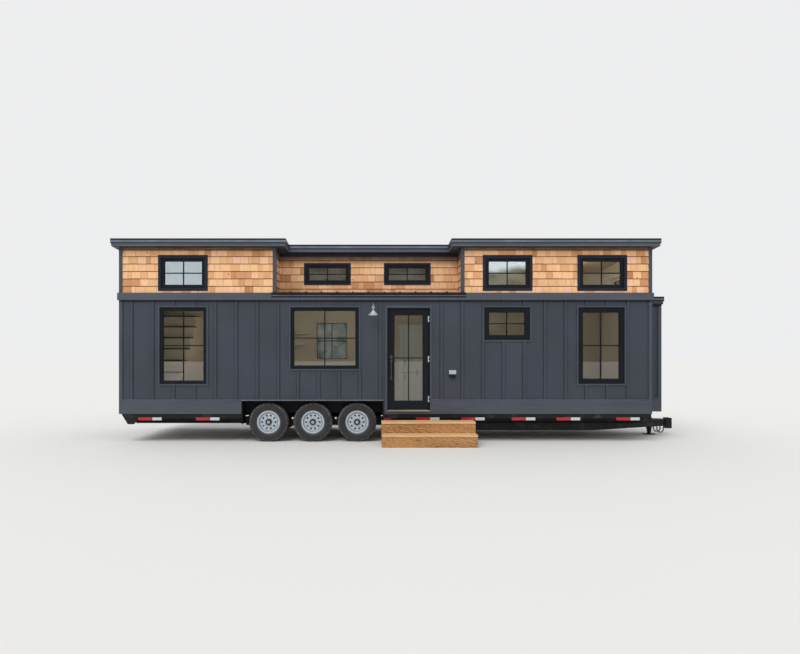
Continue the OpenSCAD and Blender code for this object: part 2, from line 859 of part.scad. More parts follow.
// The roof's whole plan grown by t, from a to b above its underside
module roof_plan(t, a, b) {
    roof_strip(roof_x0 - t, roof_x1 + t, cut_y - t, roof_y1 + t, a, b);
    roof_strip(roof_x0 - t, cut_x0 + t, roof_y0 - t, cut_y, a, b);
    roof_strip(cut_x1 - t, roof_x1 + t, roof_y0 - t, cut_y, a, b);
}

// Boards round the roof's edge, from t_in to t_out past the deck
module roof_edge(t_out, t_in, a, b) {
    reach = cut_y + abs(t_in) + 1;
    difference() {
        roof_plan(t_out, a, b);
        roof_strip(roof_x0 - t_in, roof_x1 + t_in, cut_y - t_in, roof_y1 + t_in, a - 1, b + 1);
        roof_strip(roof_x0 - t_in, cut_x0 + t_in, roof_y0 - t_in, reach, a - 1, b + 1);
        roof_strip(cut_x1 - t_in, roof_x1 + t_in, roof_y0 - t_in, reach, a - 1, b + 1);
    }
}

// Sloping deck with the notch cut into its high side
module roof_deck() {
    color([0.09, 0.09, 0.10]) place() roof_plan(0, 0, roof_t);
}

// Ribbed metal sheets over the deck, with trim as high as the ribs round their edge
module roof_sheets() {
    out = roof_edge_out;
    top = roof_t + sheet_t;
    color([0.13, 0.13, 0.15]) place() {
        roof_plan(out, roof_t, top);
        roof_edge(out, out - edge_w, top - 1, top + rib_h);
        for (x = [roof_x0 + rib_gap : rib_gap : roof_x1 - rib_gap / 2]) {
            in_notch = x > cut_x0 && x < cut_x1;
            y0 = in_notch ? cut_y : roof_y0;
            roof_strip(x - rib_w / 2, x + rib_w / 2, y0, roof_y1, top - 1, top + rib_h);
        }
    }
}

// Strip of the closet roof's slope grown by t past its walls, from a to b above its underside
module closet_strip(t, a, b) {
    along_x(wall_x1, closet_x1 + t) polygon([[closet_y0 - t, closet_under(closet_y0 - t) + a],
        [closet_y1 + t, closet_under(closet_y1 + t) + a], [closet_y1 + t, closet_under(closet_y1 + t) + b],
        [closet_y0 - t, closet_under(closet_y0 - t) + b]]);
}

// Closet roof boards from t_in to t_out past its walls, clear of the belly band
module closet_edge(t_out, t_in, a, b) {
    difference() {
        closet_strip(t_out, a, b);
        block([wall_x1 - 1, closet_y0 - t_in, deck_z],
            [closet_x1 + t_in, closet_y1 + t_in, storey_z + band_h]);
        band_gap();
    }
}

// Space that the belly band takes on the hitch end
module band_gap() {
    block([wall_x1 - 1, 0, band_z], [wall_x1 + band_t, body_w, band_top]);
}

// Fascia boards with the metal drip edge over them, on the house and its closet
module fascia() {
    deck = closet_over - roof_edge_out;
    color([0.29, 0.31, 0.35]) place() {
        roof_edge(fascia_t, 0, fascia_z, fascia_z + fascia_h);
        roof_edge(roof_edge_out, 0, roof_t - drip_h, roof_t);
        closet_edge(deck + fascia_t, deck, closet_fascia_z, closet_fascia_z + closet_fascia_h);
        closet_edge(closet_over, deck, closet_roof_t - closet_drip_h, closet_roof_t);
    }
}

// Small ribbed roof over the strip in front of the notch
module ledge_roof() {
    y0 = -band_t - trim_t;
    z0 = band_top;
    back = band_top + ledge_rise;
    color([0.12, 0.12, 0.14]) place() {
        along_x(notch_x, notch_x1)
            polygon([[0, storey_z], [notch_d, storey_z], [notch_d, back], [y0, z0 + 2],
                [y0, z0 - 4], [0, z0 - 4]]);
        block([notch_x - corner_w, y0, z0 - ledge_trim_h + 2], [notch_x1 + corner_w, -band_t, z0 + 2]);
        for (x = [notch_x + ledge_rib_x : rib_gap : notch_x1 - rib_w])
            along_x(x - rib_w / 2, x + rib_w / 2)
                polygon([[y0, z0], [notch_d, back - 2], [notch_d, back + rib_h], [y0, z0 + rib_h]]);
    }
}

// Band round the house between the storeys
module belly_band() {
    color(trim_paint) place() difference() {
        block([wall_x0 - band_t, -band_t, band_z], [wall_x1 + band_t, body_w + band_t, band_top - 4]);
        block([wall_x0, 0, band_z - 1], [wall_x1, body_w, band_top + 1]);
    }
}

// Skirt boards along the bottom of the walls
module skirt_boards() {
    top = deck_z + skirt_h;
    over = well_top + liner_t;
    x0 = well_x0 - liner_t;
    x1 = well_x1 + liner_t;
    door_end = door_x1 + door_casing;
    color(trim_paint) place() {
        both_sides() {
            block([corner_w, -trim_t, deck_z], [x0, 0, top]);
            block([x0, -trim_t, over], [x1, 0, top]);
        }
        block([door_end, -trim_t, deck_z], [body_l - corner_w, 0, top]);
        on_back() block([x1, -trim_t, deck_z], [body_l - corner_w, 0, top]);
        block([0, corner_w - trim_t, deck_z], [trim_t, body_w - corner_w + trim_t, top]);
        both_sides() {
            block([wall_x1, corner_w - trim_t, deck_z], [body_l, closet_y0 - trim_t, top]);
            block([wall_x1, closet_y0 - trim_t, deck_z], [closet_x1 + trim_t - corner_w, closet_y0, top]);
        }
        block([closet_x1, closet_y0 - trim_t + corner_w, deck_z],
            [closet_x1 + trim_t, closet_y1 + trim_t - corner_w, top]);
    }
}

// L-shaped board round an outside corner at the origin, with the wall towards +x and +y
module corner_board(h) {
    linear_extrude(h) difference() {
        translate([-trim_t, -trim_t]) square(corner_w);
        square(corner_w);
    }
}

module corner_boards() {
    low_h = band_z - deck_z;
    color(trim_paint) place() {
        both_sides() {
            translate([wall_x0, 0, deck_z]) corner_board(low_h);
            translate([wall_x1, 0, deck_z]) mirror([1, 0, 0]) corner_board(low_h);
        }
        difference() {
            union() {
                for (x = [wall_x0, notch_x1]) translate([x, 0, band_top])
                    corner_board(roof_under(corner_w) - band_top);
                for (x = [wall_x1, notch_x]) translate([x, 0, band_top]) mirror([1, 0, 0])
                    corner_board(roof_under(corner_w) - band_top);
            }
            block([notch_x, -trim_t - 1, band_top - 1], [notch_x1, corner_w, band_top + ledge_gap]);
        }
        translate([closet_x1, closet_y0, deck_z]) mirror([1, 0, 0])
            corner_board(closet_under(closet_y0 + corner_w) - deck_z);
        translate([closet_x1, closet_y1, deck_z]) mirror([1, 0, 0]) mirror([0, 1, 0])
            corner_board(closet_under(closet_y1 + trim_t) - deck_z);
        on_back() {
            translate([wall_x0, 0, band_top]) corner_board(roof_under(roof_y1) - band_top);
            translate([wall_x1, 0, band_top]) mirror([1, 0, 0])
                corner_board(roof_under(roof_y1) - band_top);
        }
    }
}

// Casings round the lower windows
module lower_casings() {
    color(trim_paint) place() {
        for (w = lower_front) window_casing(w, casing_w);
        on_back() for (w = lower_back) window_casing(w, casing_w);
    }
}

// Black casings round the upper windows and the frieze over the notch's shingles
module upper_casings() {
    color(black_trim) place() {
        for (w = upper_front) window_casing(w, upper_casing);
        on_notch() for (w = upper_notch) window_casing(w, notch_casing);
        y0 = notch_d - trim_t;
        low_z = roof_under(y0) - frieze_h;
        along_x(notch_x, notch_x1)
            polygon([[y0, low_z], [notch_d, low_z], [notch_d, roof_under(notch_d)], [y0, roof_under(y0)]]);
        on_back() for (w = upper_back) window_casing(w, upper_casing);
        on_left_end() for (w = upper_end) window_casing(w, upper_casing);
        on_right_end() for (w = upper_end) window_casing(w, upper_casing);
    }
}

// Every window's frame or pane, on whichever wall it stands
module at_windows() {
    for (w = concat(lower_front, upper_front)) {
        $w = w;
        children();
    }
    on_notch() for (w = upper_notch) {
        $w = w;
        children();
    }
    on_back() for (w = concat(lower_back, upper_back)) {
        $w = w;
        children();
    }
    on_left_end() for (w = upper_end) {
        $w = w;
        children();
    }
    on_right_end() for (w = upper_end) {
        $w = w;
        children();
    }
}

module window_frames() {
    color(black_trim) place() at_windows() window_frame($w);
}

module window_glass() {
    color([0.62, 0.70, 0.75, 0.4]) place() at_windows() window_pane($w);
}

// Black jambs and head, with a stop behind the leaf
module door_frame() {
    stop_y = leaf_in + leaf_t + 6;
    stop_w = 14;
    color(black_trim) place() difference() {
        block([door_x, leaf_in, sill_z], [door_x1, wall_t, door_top]);
        block([door_x + jamb_t, leaf_in - 1, sill_z - 1], [door_x1 - jamb_t, stop_y, door_top - jamb_t]);
        block([door_x + jamb_t + stop_w, leaf_in - 1, sill_z - 1],
            [door_x1 - jamb_t - stop_w, wall_t + 1, door_top - jamb_t - stop_w]);
    }
}

// Painted casing round the doorway, with a board under the threshold's nose
module door_casings() {
    head_h = 58;
    color(trim_paint) place() difference() {
        block([door_x - door_casing, -trim_t, deck_z], [door_x1 + door_casing, 0, door_top + head_h]);
        block([door_x, -trim_t - 1, sill_z - nose_t], [door_x1, 1, door_top]);
    }
}

// Sill under the door
module threshold() {
    color([0.60, 0.54, 0.46]) place() {
        block([door_x, 0, deck_z], [door_x1, wall_t, sill_z]);
        block([door_x, -band_t, sill_z - nose_t], [door_x1, 0, sill_z]);
    }
}

// Outer thirds of each hinge and its pin, fixed to the jamb
module hinge_leaves() {
    third = hinge_l / 3;
    color([0.72, 0.73, 0.75]) place() for (z = hinge_zs) {
        translate([pin_x, pin_y, z - hinge_l / 2]) cylinder(h = hinge_l, r = pin_r);
        for (s = [z - hinge_l / 2, z + hinge_l / 2 - third]) {
            translate([pin_x, pin_y, s]) cylinder(h = third, r = knuckle_r);
            block([pin_x, pin_y, s], [pin_x + door_gap / 2 + jamb_t / 2, leaf_in, s + third]);
        }
    }
}

// Middle third of each hinge, fixed to the leaf
module door_hinges() {
    third = hinge_l / 3;
    color([0.72, 0.73, 0.75]) place() for (z = hinge_zs) difference() {
        union() {
            translate([pin_x, pin_y, z - third / 2 + 0.5]) cylinder(h = third - 1, r = knuckle_r);
            block([pin_x - door_gap / 2 - 18, pin_y + 1, z - third / 2 + 0.5],
                [pin_x, leaf_in, z + third / 2 - 0.5]);
        }
        translate([pin_x, pin_y, z - third]) cylinder(h = 2 * third, r = pin_r + pin_fit);
    }
}

// Full-light door leaf
module door_leaf() {
    color(black_trim) place() difference() {
        block([leaf_x0, leaf_in, leaf_z0], [leaf_x1, leaf_in + leaf_t, leaf_z1]);
        block([leaf_x0 + stile_w, leaf_in - 1, leaf_z0 + bottom_rail],
            [leaf_x1 - stile_w, leaf_in + leaf_t + 1, leaf_z1 - stile_w]);
    }
}

module door_glass() {
    y = leaf_in + leaf_t / 2;
    color([0.62, 0.70, 0.75, 0.4]) place()
        block([leaf_x0 + stile_w, y - glass_t / 2, leaf_z0 + bottom_rail],
            [leaf_x1 - stile_w, y + glass_t / 2, leaf_z1 - stile_w]);
}

// Deadbolt and grip on the outside, lever on the inside
module door_handle() {
    x = leaf_x0 + 42;
    bolt_z = 1658;
    grip_z0 = 1206;
    grip_z1 = 1634;
    stand = 50;
    inner_y = leaf_in + leaf_t;
    color([0.08, 0.08, 0.09]) place() {
        translate([x, leaf_in, bolt_z]) rotate([90, 0, 0]) cylinder(h = 22, r = 32);
        for (z = [grip_z0 + 40, grip_z1 - 60]) translate([x, leaf_in, z]) rotate([90, 0, 0]) {
            cylinder(h = 6, r = 26);
            cylinder(h = stand, r = 8);
        }
        translate([x, leaf_in - stand, grip_z0]) cylinder(h = grip_z1 - grip_z0 - 20, r = 9);
        translate([x, inner_y, grip_z1 - 60]) rotate([-90, 0, 0]) {
            cylinder(h = 8, r = 30);
            cylinder(h = 50, r = 9);
        }
        translate([x - 9, inner_y + 44, grip_z1 - 69]) cube([110, 14, 18]);
    }
}

// Gooseneck lamp with a plain conical shade
module wall_lamp() {
    wall = 2;
    tip_r = 14;
    plate_r = 35;
    plate_t = 10;
    bend_r = (lamp_out - neck_r - 1) / 2;
    bend_z = lamp_z + shade_h + neck_h - bend_r - neck_r;
    color([0.75, 0.76, 0.78]) place() translate([lamp_x, 0, 0]) {
        translate([0, -lamp_out, lamp_z]) rotate_extrude()
            polygon([[shade_r, 0], [shade_r, wall], [tip_r, shade_h], [0, shade_h],
                [0, shade_h - 2 * wall], [tip_r - wall, shade_h - 2 * wall], [shade_r - 2 * wall, 0]]);
        translate([0, -lamp_out, lamp_z + shade_h - wall])
            cylinder(h = bend_z - lamp_z - shade_h + wall, r = neck_r);
        translate([0, bend_r - lamp_out, bend_z]) rotate([90, 0, -90]) rotate_extrude(angle = 180)
            translate([bend_r, 0]) circle(neck_r);
        translate([0, 0, bend_z + plate_r - plate_t]) rotate([90, 0, 0]) cylinder(h = plate_t, r = plate_r);
    }
}

// Weather cover over the outdoor outlet: a hood over a narrower box
module outlet_cover() {
    out = 62;
    hood_z = outlet_z + outlet_box_h;
    top = outlet_z + outlet_h;
    inset = 12;
    color([0.66, 0.70, 0.73]) place() {
        along_x(outlet_x, outlet_x + outlet_w) polygon([[0, hood_z], [-out, hood_z], [-out, hood_z + 20],
            [-out / 2, top], [0, top]]);
        block([outlet_x + inset, -out + inset, outlet_z], [outlet_x + outlet_w - inset, 0, hood_z + 1]);
    }
}

// Closet shell against the end wall, with its own floor
module closet_walls() {
    in = closet_t;
    color(siding) place() difference() {
        along_x(wall_x1, closet_x1) polygon([[closet_y0, deck_z], [closet_y1, deck_z],
            [closet_y1, closet_under(closet_y1)], [closet_y0, closet_under(closet_y0)]]);
        block([wall_x1 - 1, closet_y0 + in, floor_z], [closet_x1 - in, closet_y1 - in, storey_z]);
    }
}

// Low roof of the closet, with trim round its top
module closet_roof() {
    color([0.16, 0.17, 0.20]) place() {
        difference() {
            closet_strip(closet_over - roof_edge_out, 0, closet_roof_t);
            band_gap();
        }
        difference() {
            closet_strip(closet_over, closet_roof_t, closet_roof_t + closet_trim_h);
            band_gap();
        }
    }
}

// Kitchen cabinets along the back wall, cut round the wheel well, and the shelves beside the window
module kitchen_fittings() {
    y0 = room_y1 - kitchen_d;
    shelf_y = room_y1 - shelf_d;
    color([0.86, 0.85, 0.82]) place() {
        difference() {
            union() {
                block([kitchen_x, y0, floor_z], [tall_x0, room_y1, counter_z]);
                block([tall_x0, y0, floor_z], [tall_x1, room_y1, tall_z]);
            }
            block([well_x0 - liner_t, body_w - well_d - liner_t, floor_z - 1],
                [well_x1 + liner_t, room_y1 + 1, well_top + liner_t]);
        }
        block([shelf_x, shelf_y, shelf_1_z - shelf_t], [bw_x - shelf_1_gap, room_y1, shelf_1_z]);
        block([shelf_x, shelf_y, shelf_2_z - shelf_t], [bw_x - shelf_2_gap, room_y1, shelf_2_z]);
    }
}

// Sleeping lofts at both ends; the left one leaves the stair open
module loft_floors() {
    color([0.85, 0.84, 0.80]) place() {
        block([room_x0 + stair_w, room_y0, storey_z - loft_t], [notch_x, room_y1, storey_z]);
        block([notch_x1, room_y0, storey_z - loft_t], [room_x1, room_y1, storey_z]);
    }
}

// White body of the stair that climbs from front to back
module stair_body() {
    foot_y = room_y0 + stair_in;
    color([0.88, 0.88, 0.86]) place() along_x(room_x0, room_x0 + stair_w)
        polygon(concat([for (i = [1 : risers - 1]) for (level = [i - 1, i])
                [foot_y + (i - 1) * run, level == 0 ? floor_z : floor_z + level * rise - tread_t]],
            [[room_y1, floor_z + (risers - 1) * rise - tread_t], [room_y1, floor_z]]));
}

module stair_treads() {
    foot_y = room_y0 + stair_in;
    color([0.08, 0.07, 0.06]) place() for (i = [1 : risers - 1]) {
        y = foot_y + (i - 1) * run;
        block([room_x0, y - nosing, floor_z + i * rise - tread_t],
            [room_x0 + stair_w, y + run - nosing - 2, floor_z + i * rise]);
    }
}

// Boards of the two treads
module step_treads() {
    y1 = -steps_gap;
    y2 = y1 - step_2_d;
    y3 = y2 - step_1_d;
    color([0.78, 0.58, 0.36]) place() {
        for (n = [0, 1]) {
            d2 = step_2_d / 2;
            block([steps_x, y2 + n * d2, step_2_z - board_t],
                [steps_x + steps_w, y2 + (n + 1) * d2 - 4, step_2_z]);
            d1 = step_1_d / 2;
            block([steps_x, y3 + n * d1, step_1_z - board_t],
                [steps_x + steps_w, y3 + (n + 1) * d1 - 4, step_1_z]);
        }
    }
}

// Risers and the side boards that carry the treads
module step_frame() {
    back = -steps_gap;
    mid = back - step_2_d + step_nose;
    front = mid - step_1_d;
    x1 = steps_x + steps_w;
    color([0.76, 0.55, 0.34]) place() {
        for (x = [steps_x, (steps_x + x1 - side_t) / 2, x1 - side_t]) along_x(x, x + side_t)
            polygon([[front + board_t, 0], [back, 0], [back, step_2_z - board_t],
                [mid + board_t, step_2_z - board_t], [mid + board_t, step_1_z - board_t],
                [front + board_t, step_1_z - board_t]]);
        block([steps_x, front, 0], [x1, front + board_t, step_1_z - board_t]);
        block([steps_x, mid, step_1_z - board_t - step_lap], [x1, mid + board_t, step_2_z - board_t]);
    }
}

// Rectangle with round corners, centred across its width
module round_rect(x0, x1, w, r) {
    translate([x0 + r, -w / 2]) square([x1 - x0 - 2 * r, w]);
    translate([x0, -w / 2 + r]) square([x1 - x0, w - 2 * r]);
    for (x = [x0 + r, x1 - r]) for (y = [-w / 2 + r, w / 2 - r]) translate([x, y]) circle(r);
}

// Tyre with four grooves round its tread
module tyre() {
    groove = 9;
    rotate_extrude($fn = 96) difference() {
        union() {
            translate([seat_r, -rim_w / 2]) square([60, rim_w]);
            round_rect(seat_r + flange_h + 4, tyre_r, tyre_w, 38);
        }
        for (y = [-60, -20, 20, 60]) translate([tyre_r - groove, y - 5]) square([groove + 1, 10]);
    }
}

// Steel wheel with its hub, brake drum and cap
module wheel() {
    barrel = 6;
    flange_t = 8;
    disc_t = 8;
    vents = 10;
    vent_r = 15;
    vent_ring = 131;
    disc_r = 155;
    bowl_z = 28;
    bore_end = 60;
    difference() {
        rotate_extrude($fn = 96) {
            translate([seat_r - barrel, -rim_w / 2]) square([barrel, rim_w]);
            for (y = [-rim_w / 2 - flange_t, rim_w / 2])
                translate([seat_r - barrel, y]) square([barrel + flange_h, flange_t]);
            polygon([[0, wheel_face - disc_t], [disc_r, wheel_face - disc_t], [seat_r - barrel, bowl_z],
                [seat_r - barrel, bowl_z + disc_t + 4], [disc_r + 5, wheel_face], [0, wheel_face]]);
            translate([0, -drum_end]) square([drum_r, drum_end + bowl_z + 2]);
            translate([0, 0]) square([hub_r, wheel_face + 16]);
            square([cap_r, wheel_face + 40]);
        }
        for (i = [0 : vents - 1]) rotate([0, 0, i * 360 / vents])
            translate([vent_ring, 0, 31]) cylinder(h = wheel_face, r = vent_r, $fn = 32);
        translate([0, 0, -drum_end - 1]) cylinder(h = drum_end + 1 + bore_end, r = spindle_r + hub_fit);
    }
}

module tyre_at(i) {
    color([0.16, 0.16, 0.17]) at_axle(i) tyre();
}

module wheel_at(i) {
    color([0.72, 0.76, 0.80]) at_axle(i) wheel();
}

side_rails();
cross_members();
main_beams();
tongue();
coupler();
safety_chains();
jack();
axles();
leaf_springs();
spring_hangers();
wheel_wells();
floor();
front_wall_left();
front_wall_right();
front_wall_over_door();
upper_front_walls();
notch_wall();
back_wall();
end_walls();
roof_deck();
roof_sheets();
fascia();
ledge_roof();
belly_band();
skirt_boards();
corner_boards();
lower_casings();
upper_casings();
window_frames();
window_glass();
door_frame();
door_casings();
threshold();
hinge_leaves();
wall_lamp();
outlet_cover();
closet_walls();
closet_roof();
kitchen_fittings();
loft_floors();
stair_body();
stair_treads();
step_treads();
step_frame();
door_leaf();
door_glass();
door_handle();
door_hinges();
for (i = [0 : 2]) {
    place() tyre_at(i);
    place() wheel_at(i);
    place() on_back() tyre_at(i);
    place() on_back() wheel_at(i);
}
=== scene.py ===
"""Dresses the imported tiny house: siding battens, cedar shingles, glazing, running gear and a plain studio."""

import math
import random

import bmesh
import bpy
from bpy.props import FloatProperty, FloatVectorProperty, IntProperty, PointerProperty
from mathutils import Matrix, Vector


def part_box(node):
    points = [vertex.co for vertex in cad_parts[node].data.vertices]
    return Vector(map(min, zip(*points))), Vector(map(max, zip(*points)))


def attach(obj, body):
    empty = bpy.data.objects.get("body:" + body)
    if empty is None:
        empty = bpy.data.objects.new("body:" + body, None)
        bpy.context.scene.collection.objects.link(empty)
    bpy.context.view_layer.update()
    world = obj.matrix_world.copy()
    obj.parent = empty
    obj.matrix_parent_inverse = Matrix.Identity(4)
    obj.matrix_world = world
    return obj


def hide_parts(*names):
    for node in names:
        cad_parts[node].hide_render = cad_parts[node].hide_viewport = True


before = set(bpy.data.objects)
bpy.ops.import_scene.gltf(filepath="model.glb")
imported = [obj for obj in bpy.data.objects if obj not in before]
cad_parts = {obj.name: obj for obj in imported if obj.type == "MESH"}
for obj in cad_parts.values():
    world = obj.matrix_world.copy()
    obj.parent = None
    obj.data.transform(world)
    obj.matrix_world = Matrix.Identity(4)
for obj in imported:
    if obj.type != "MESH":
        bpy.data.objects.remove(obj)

bl_info = {
    "name": "Tiny House on Wheels",
    "version": (1, 0, 0),
    "blender": (4, 5, 0),
    "location": "3D View > Sidebar > Tiny House",
    "description": "Builds the finishes, siding, shingles, glazing and running gear of a tiny house",
    "category": "Object",
}

HOUSE = "house"
DOOR = "door"
UP = Vector((0, 0, 1))
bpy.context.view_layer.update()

# The house's own corner: x from the left corner board's face, y from the front siding's face
HOUSE_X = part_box("corner_boards")[0].x
HOUSE_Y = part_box("front_wall_left")[0].y
BACK_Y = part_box("back_wall")[1].y
LEFT_WALL_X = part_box("end_walls")[0].x
RIGHT_WALL_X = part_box("end_walls")[1].x
HOUSE_END = RIGHT_WALL_X + LEFT_WALL_X - HOUSE_X
WALL_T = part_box("front_wall_left")[1].y - HOUSE_Y
BAND_Z, BAND_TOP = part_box("belly_band")[0].z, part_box("belly_band")[1].z
SKIRT_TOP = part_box("skirt_boards")[1].z
NOTCH_Y = min(v.co.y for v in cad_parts["notch_wall"].data.vertices
              if abs(v.co.x - sum(p.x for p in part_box("notch_wall")) / 2) < 1.0)
MIDDLE_Y = (HOUSE_Y + BACK_Y) / 2
WHEELS = [(side, i) for side in ("front", "back") for i in (1, 2, 3)]


def at_x(metres):
    """A place along the house, from its left corner."""
    return HOUSE_X + metres


def paint(name, description, r, g, b):
    """A colour setting, given as sRGB steps from 0 to 255 and kept as Blender keeps colours."""

    def linear(step):
        share = step / 255
        return share / 12.92 if share <= 0.04045 else ((share + 0.055) / 1.055) ** 2.4

    return FloatVectorProperty(
        name=name, description=description, subtype="COLOR", size=3, min=0, max=1,
        default=(linear(r), linear(g), linear(b)),
    )


def length(name, description, default):
    return FloatProperty(
        name=name, description=description, default=default, min=0.0005, max=30.0, unit="LENGTH"
    )


def float_setting(name, description, default):
    return FloatProperty(name=name, description=description, default=default)


def count_setting(name, description, default):
    return IntProperty(name=name, description=description, default=default, min=4, max=12)


class PaintSettings(bpy.types.PropertyGroup):
    siding: paint("Siding", "Paint on the siding panels and battens", 57, 61, 71)
    trim: paint("Trim", "Paint on the corner boards, skirt, band and casings", 66, 71, 82)
    fascia: paint("Fascia", "Paint on the fascia boards", 79, 85, 96)
    # Light paint on the metal's folded edges: painted highlight where the edges catch the light
    hem: paint("Hems", "Folded light edges of the roof metal", 112, 120, 130)
    frames: paint("Frames", "Paint on the window frames and the door", 12, 15, 22)
    upper_casings: paint("Upper casings", "Paint on the casings of the upper windows", 30, 36, 52)
    cabinets: paint("Cabinets", "Paint on the kitchen's cabinets", 224, 232, 224)
    roof: paint("Roof metal", "Paint on the ribbed roof sheets", 34, 36, 42)
    chassis: paint("Chassis", "Paint on the trailer frame", 27, 26, 27)
    interior: paint("Interior", "Paint on the inside walls", 226, 216, 196)
    wheels: paint("Wheels", "Paint on the steel wheels", 186, 196, 204)


class SidingSettings(bpy.types.PropertyGroup):
    batten_w: length("Batten width", "Width of a siding batten", 0.058)
    batten_t: length("Batten thickness", "How far a batten stands off the panels", 0.017)
    # A strip of painted shadow beside each batten, this wide
    shadow_w: length("Seam width", "Width of the dark caulk line beside a batten", 0.007)
    batten_gap: length("Batten spacing", "Spacing of the battens on the back and the ends", 0.4064)


class ShingleSettings(bpy.types.PropertyGroup):
    exposure: length("Exposure", "Height of each course that shows", 0.1444)
    first_z: length("First course", "Height of the lowest butts", 2.891)
    narrow: length("Narrowest", "Width of the narrowest shingle", 0.075)
    wide: length("Widest", "Width of the widest shingle", 0.215)
    joint: length("Joint", "Gap between two shingles", 0.0035)
    butt_t: length("Butt thickness", "Thickness of a shingle at its lower edge", 0.015)
    head_t: length("Head thickness", "Thickness of a shingle under the next course", 0.003)
    shade_h: length("Shaded top", "Height of the dark line under the next course's butts", 0.014)
    shade_share: float_setting("Shading", "How dark that line is", 0.85)
    side_share: float_setting("Side shading", "How dark the sides are", 0.3)
    seed: IntProperty(name="Seed", description="Seed of the shingle widths and tones", default=11)


class GlazingSettings(bpy.types.PropertyGroup):
    bar_w: length("Bar width", "Width of a window bar", 0.020)
    bar_t: length("Bar depth", "How far a bar stands off the glass", 0.009)
    bead_w: length("Bead width", "Width of the bead that holds a pane", 0.012)
    bead_t: length("Bead height", "How far a bead stands off the glass", 0.011)
    pane_t: length("Pane thickness", "Thickness of a sealed pane", 0.016)
    lower_ior: float_setting("Lower glass", "IOR of the lower panes", 1.6)
    upper_ior: float_setting("Upper glass", "IOR of the coated upper panes", 3.2)


class RunningGearSettings(bpy.types.PropertyGroup):
    nut_r: length("Nut radius", "Radius of a lug nut", 0.0125)
    nut_ring: length("Nut circle", "Radius of the circle of lug nuts", 0.0825)
    nuts: count_setting("Lug nuts", "Lug nuts on a wheel", 8)
    vents: count_setting("Vents", "Vents in a wheel", 10)
    vent_ring: length("Vent circle", "Radius of the circle of vents", 0.131)
    vent_r: length("Vent radius", "Radius of a vent in the wheel", 0.015)
    vent_depth: length("Vent depth", "From the cap's tip back to the wheel's disc", 0.040)
    tape_h: length("Tape height", "Height of the reflecting tape", 0.055)
    tape_red: length("Red length", "Length of the tape's red part", 0.279)
    tape_white: length("White length", "Length of the tape's white part", 0.178)
    link_r: length("Chain link wire", "Radius of the safety chain's wire", 0.007)


class StudioSettings(bpy.types.PropertyGroup):
    lens: float_setting("Lens", "Focal length in mm", 27.75)
    distance: length("Camera distance", "From the camera to the front siding", 12.0)
    along: length("Camera place", "Camera's place along the house", 4.8786)
    height: length("Camera height", "Camera's height over the ground", 1.654)
    shift: float_setting("Shift", "Lens shift both ways", 0.0375)
    sky: float_setting("Sky", "Strength of the soft light from all round", 0.80)
    sun: float_setting("Sun", "Strength of the soft main light", 1.3)
    rooms: float_setting("Room lights", "Power of the lamps in the rooms", 7.0)
    backdrop: float_setting("Backdrop", "Brightness of what shows behind", 0.86)
    floor: paint("Floor", "Colour of the studio floor", 226, 225, 222)


GROUPS = {
    "paints": PaintSettings,
    "siding": SidingSettings,
    "shingles": ShingleSettings,
    "glazing": GlazingSettings,
    "running_gear": RunningGearSettings,
    "studio": StudioSettings,
}


class HouseSettings(bpy.types.PropertyGroup):
    paints: PointerProperty(type=PaintSettings)
    siding: PointerProperty(type=SidingSettings)
    shingles: PointerProperty(type=ShingleSettings)
    glazing: PointerProperty(type=GlazingSettings)
    running_gear: PointerProperty(type=RunningGearSettings)
    studio: PointerProperty(type=StudioSettings)


def settings():
    return bpy.context.scene.tiny_house


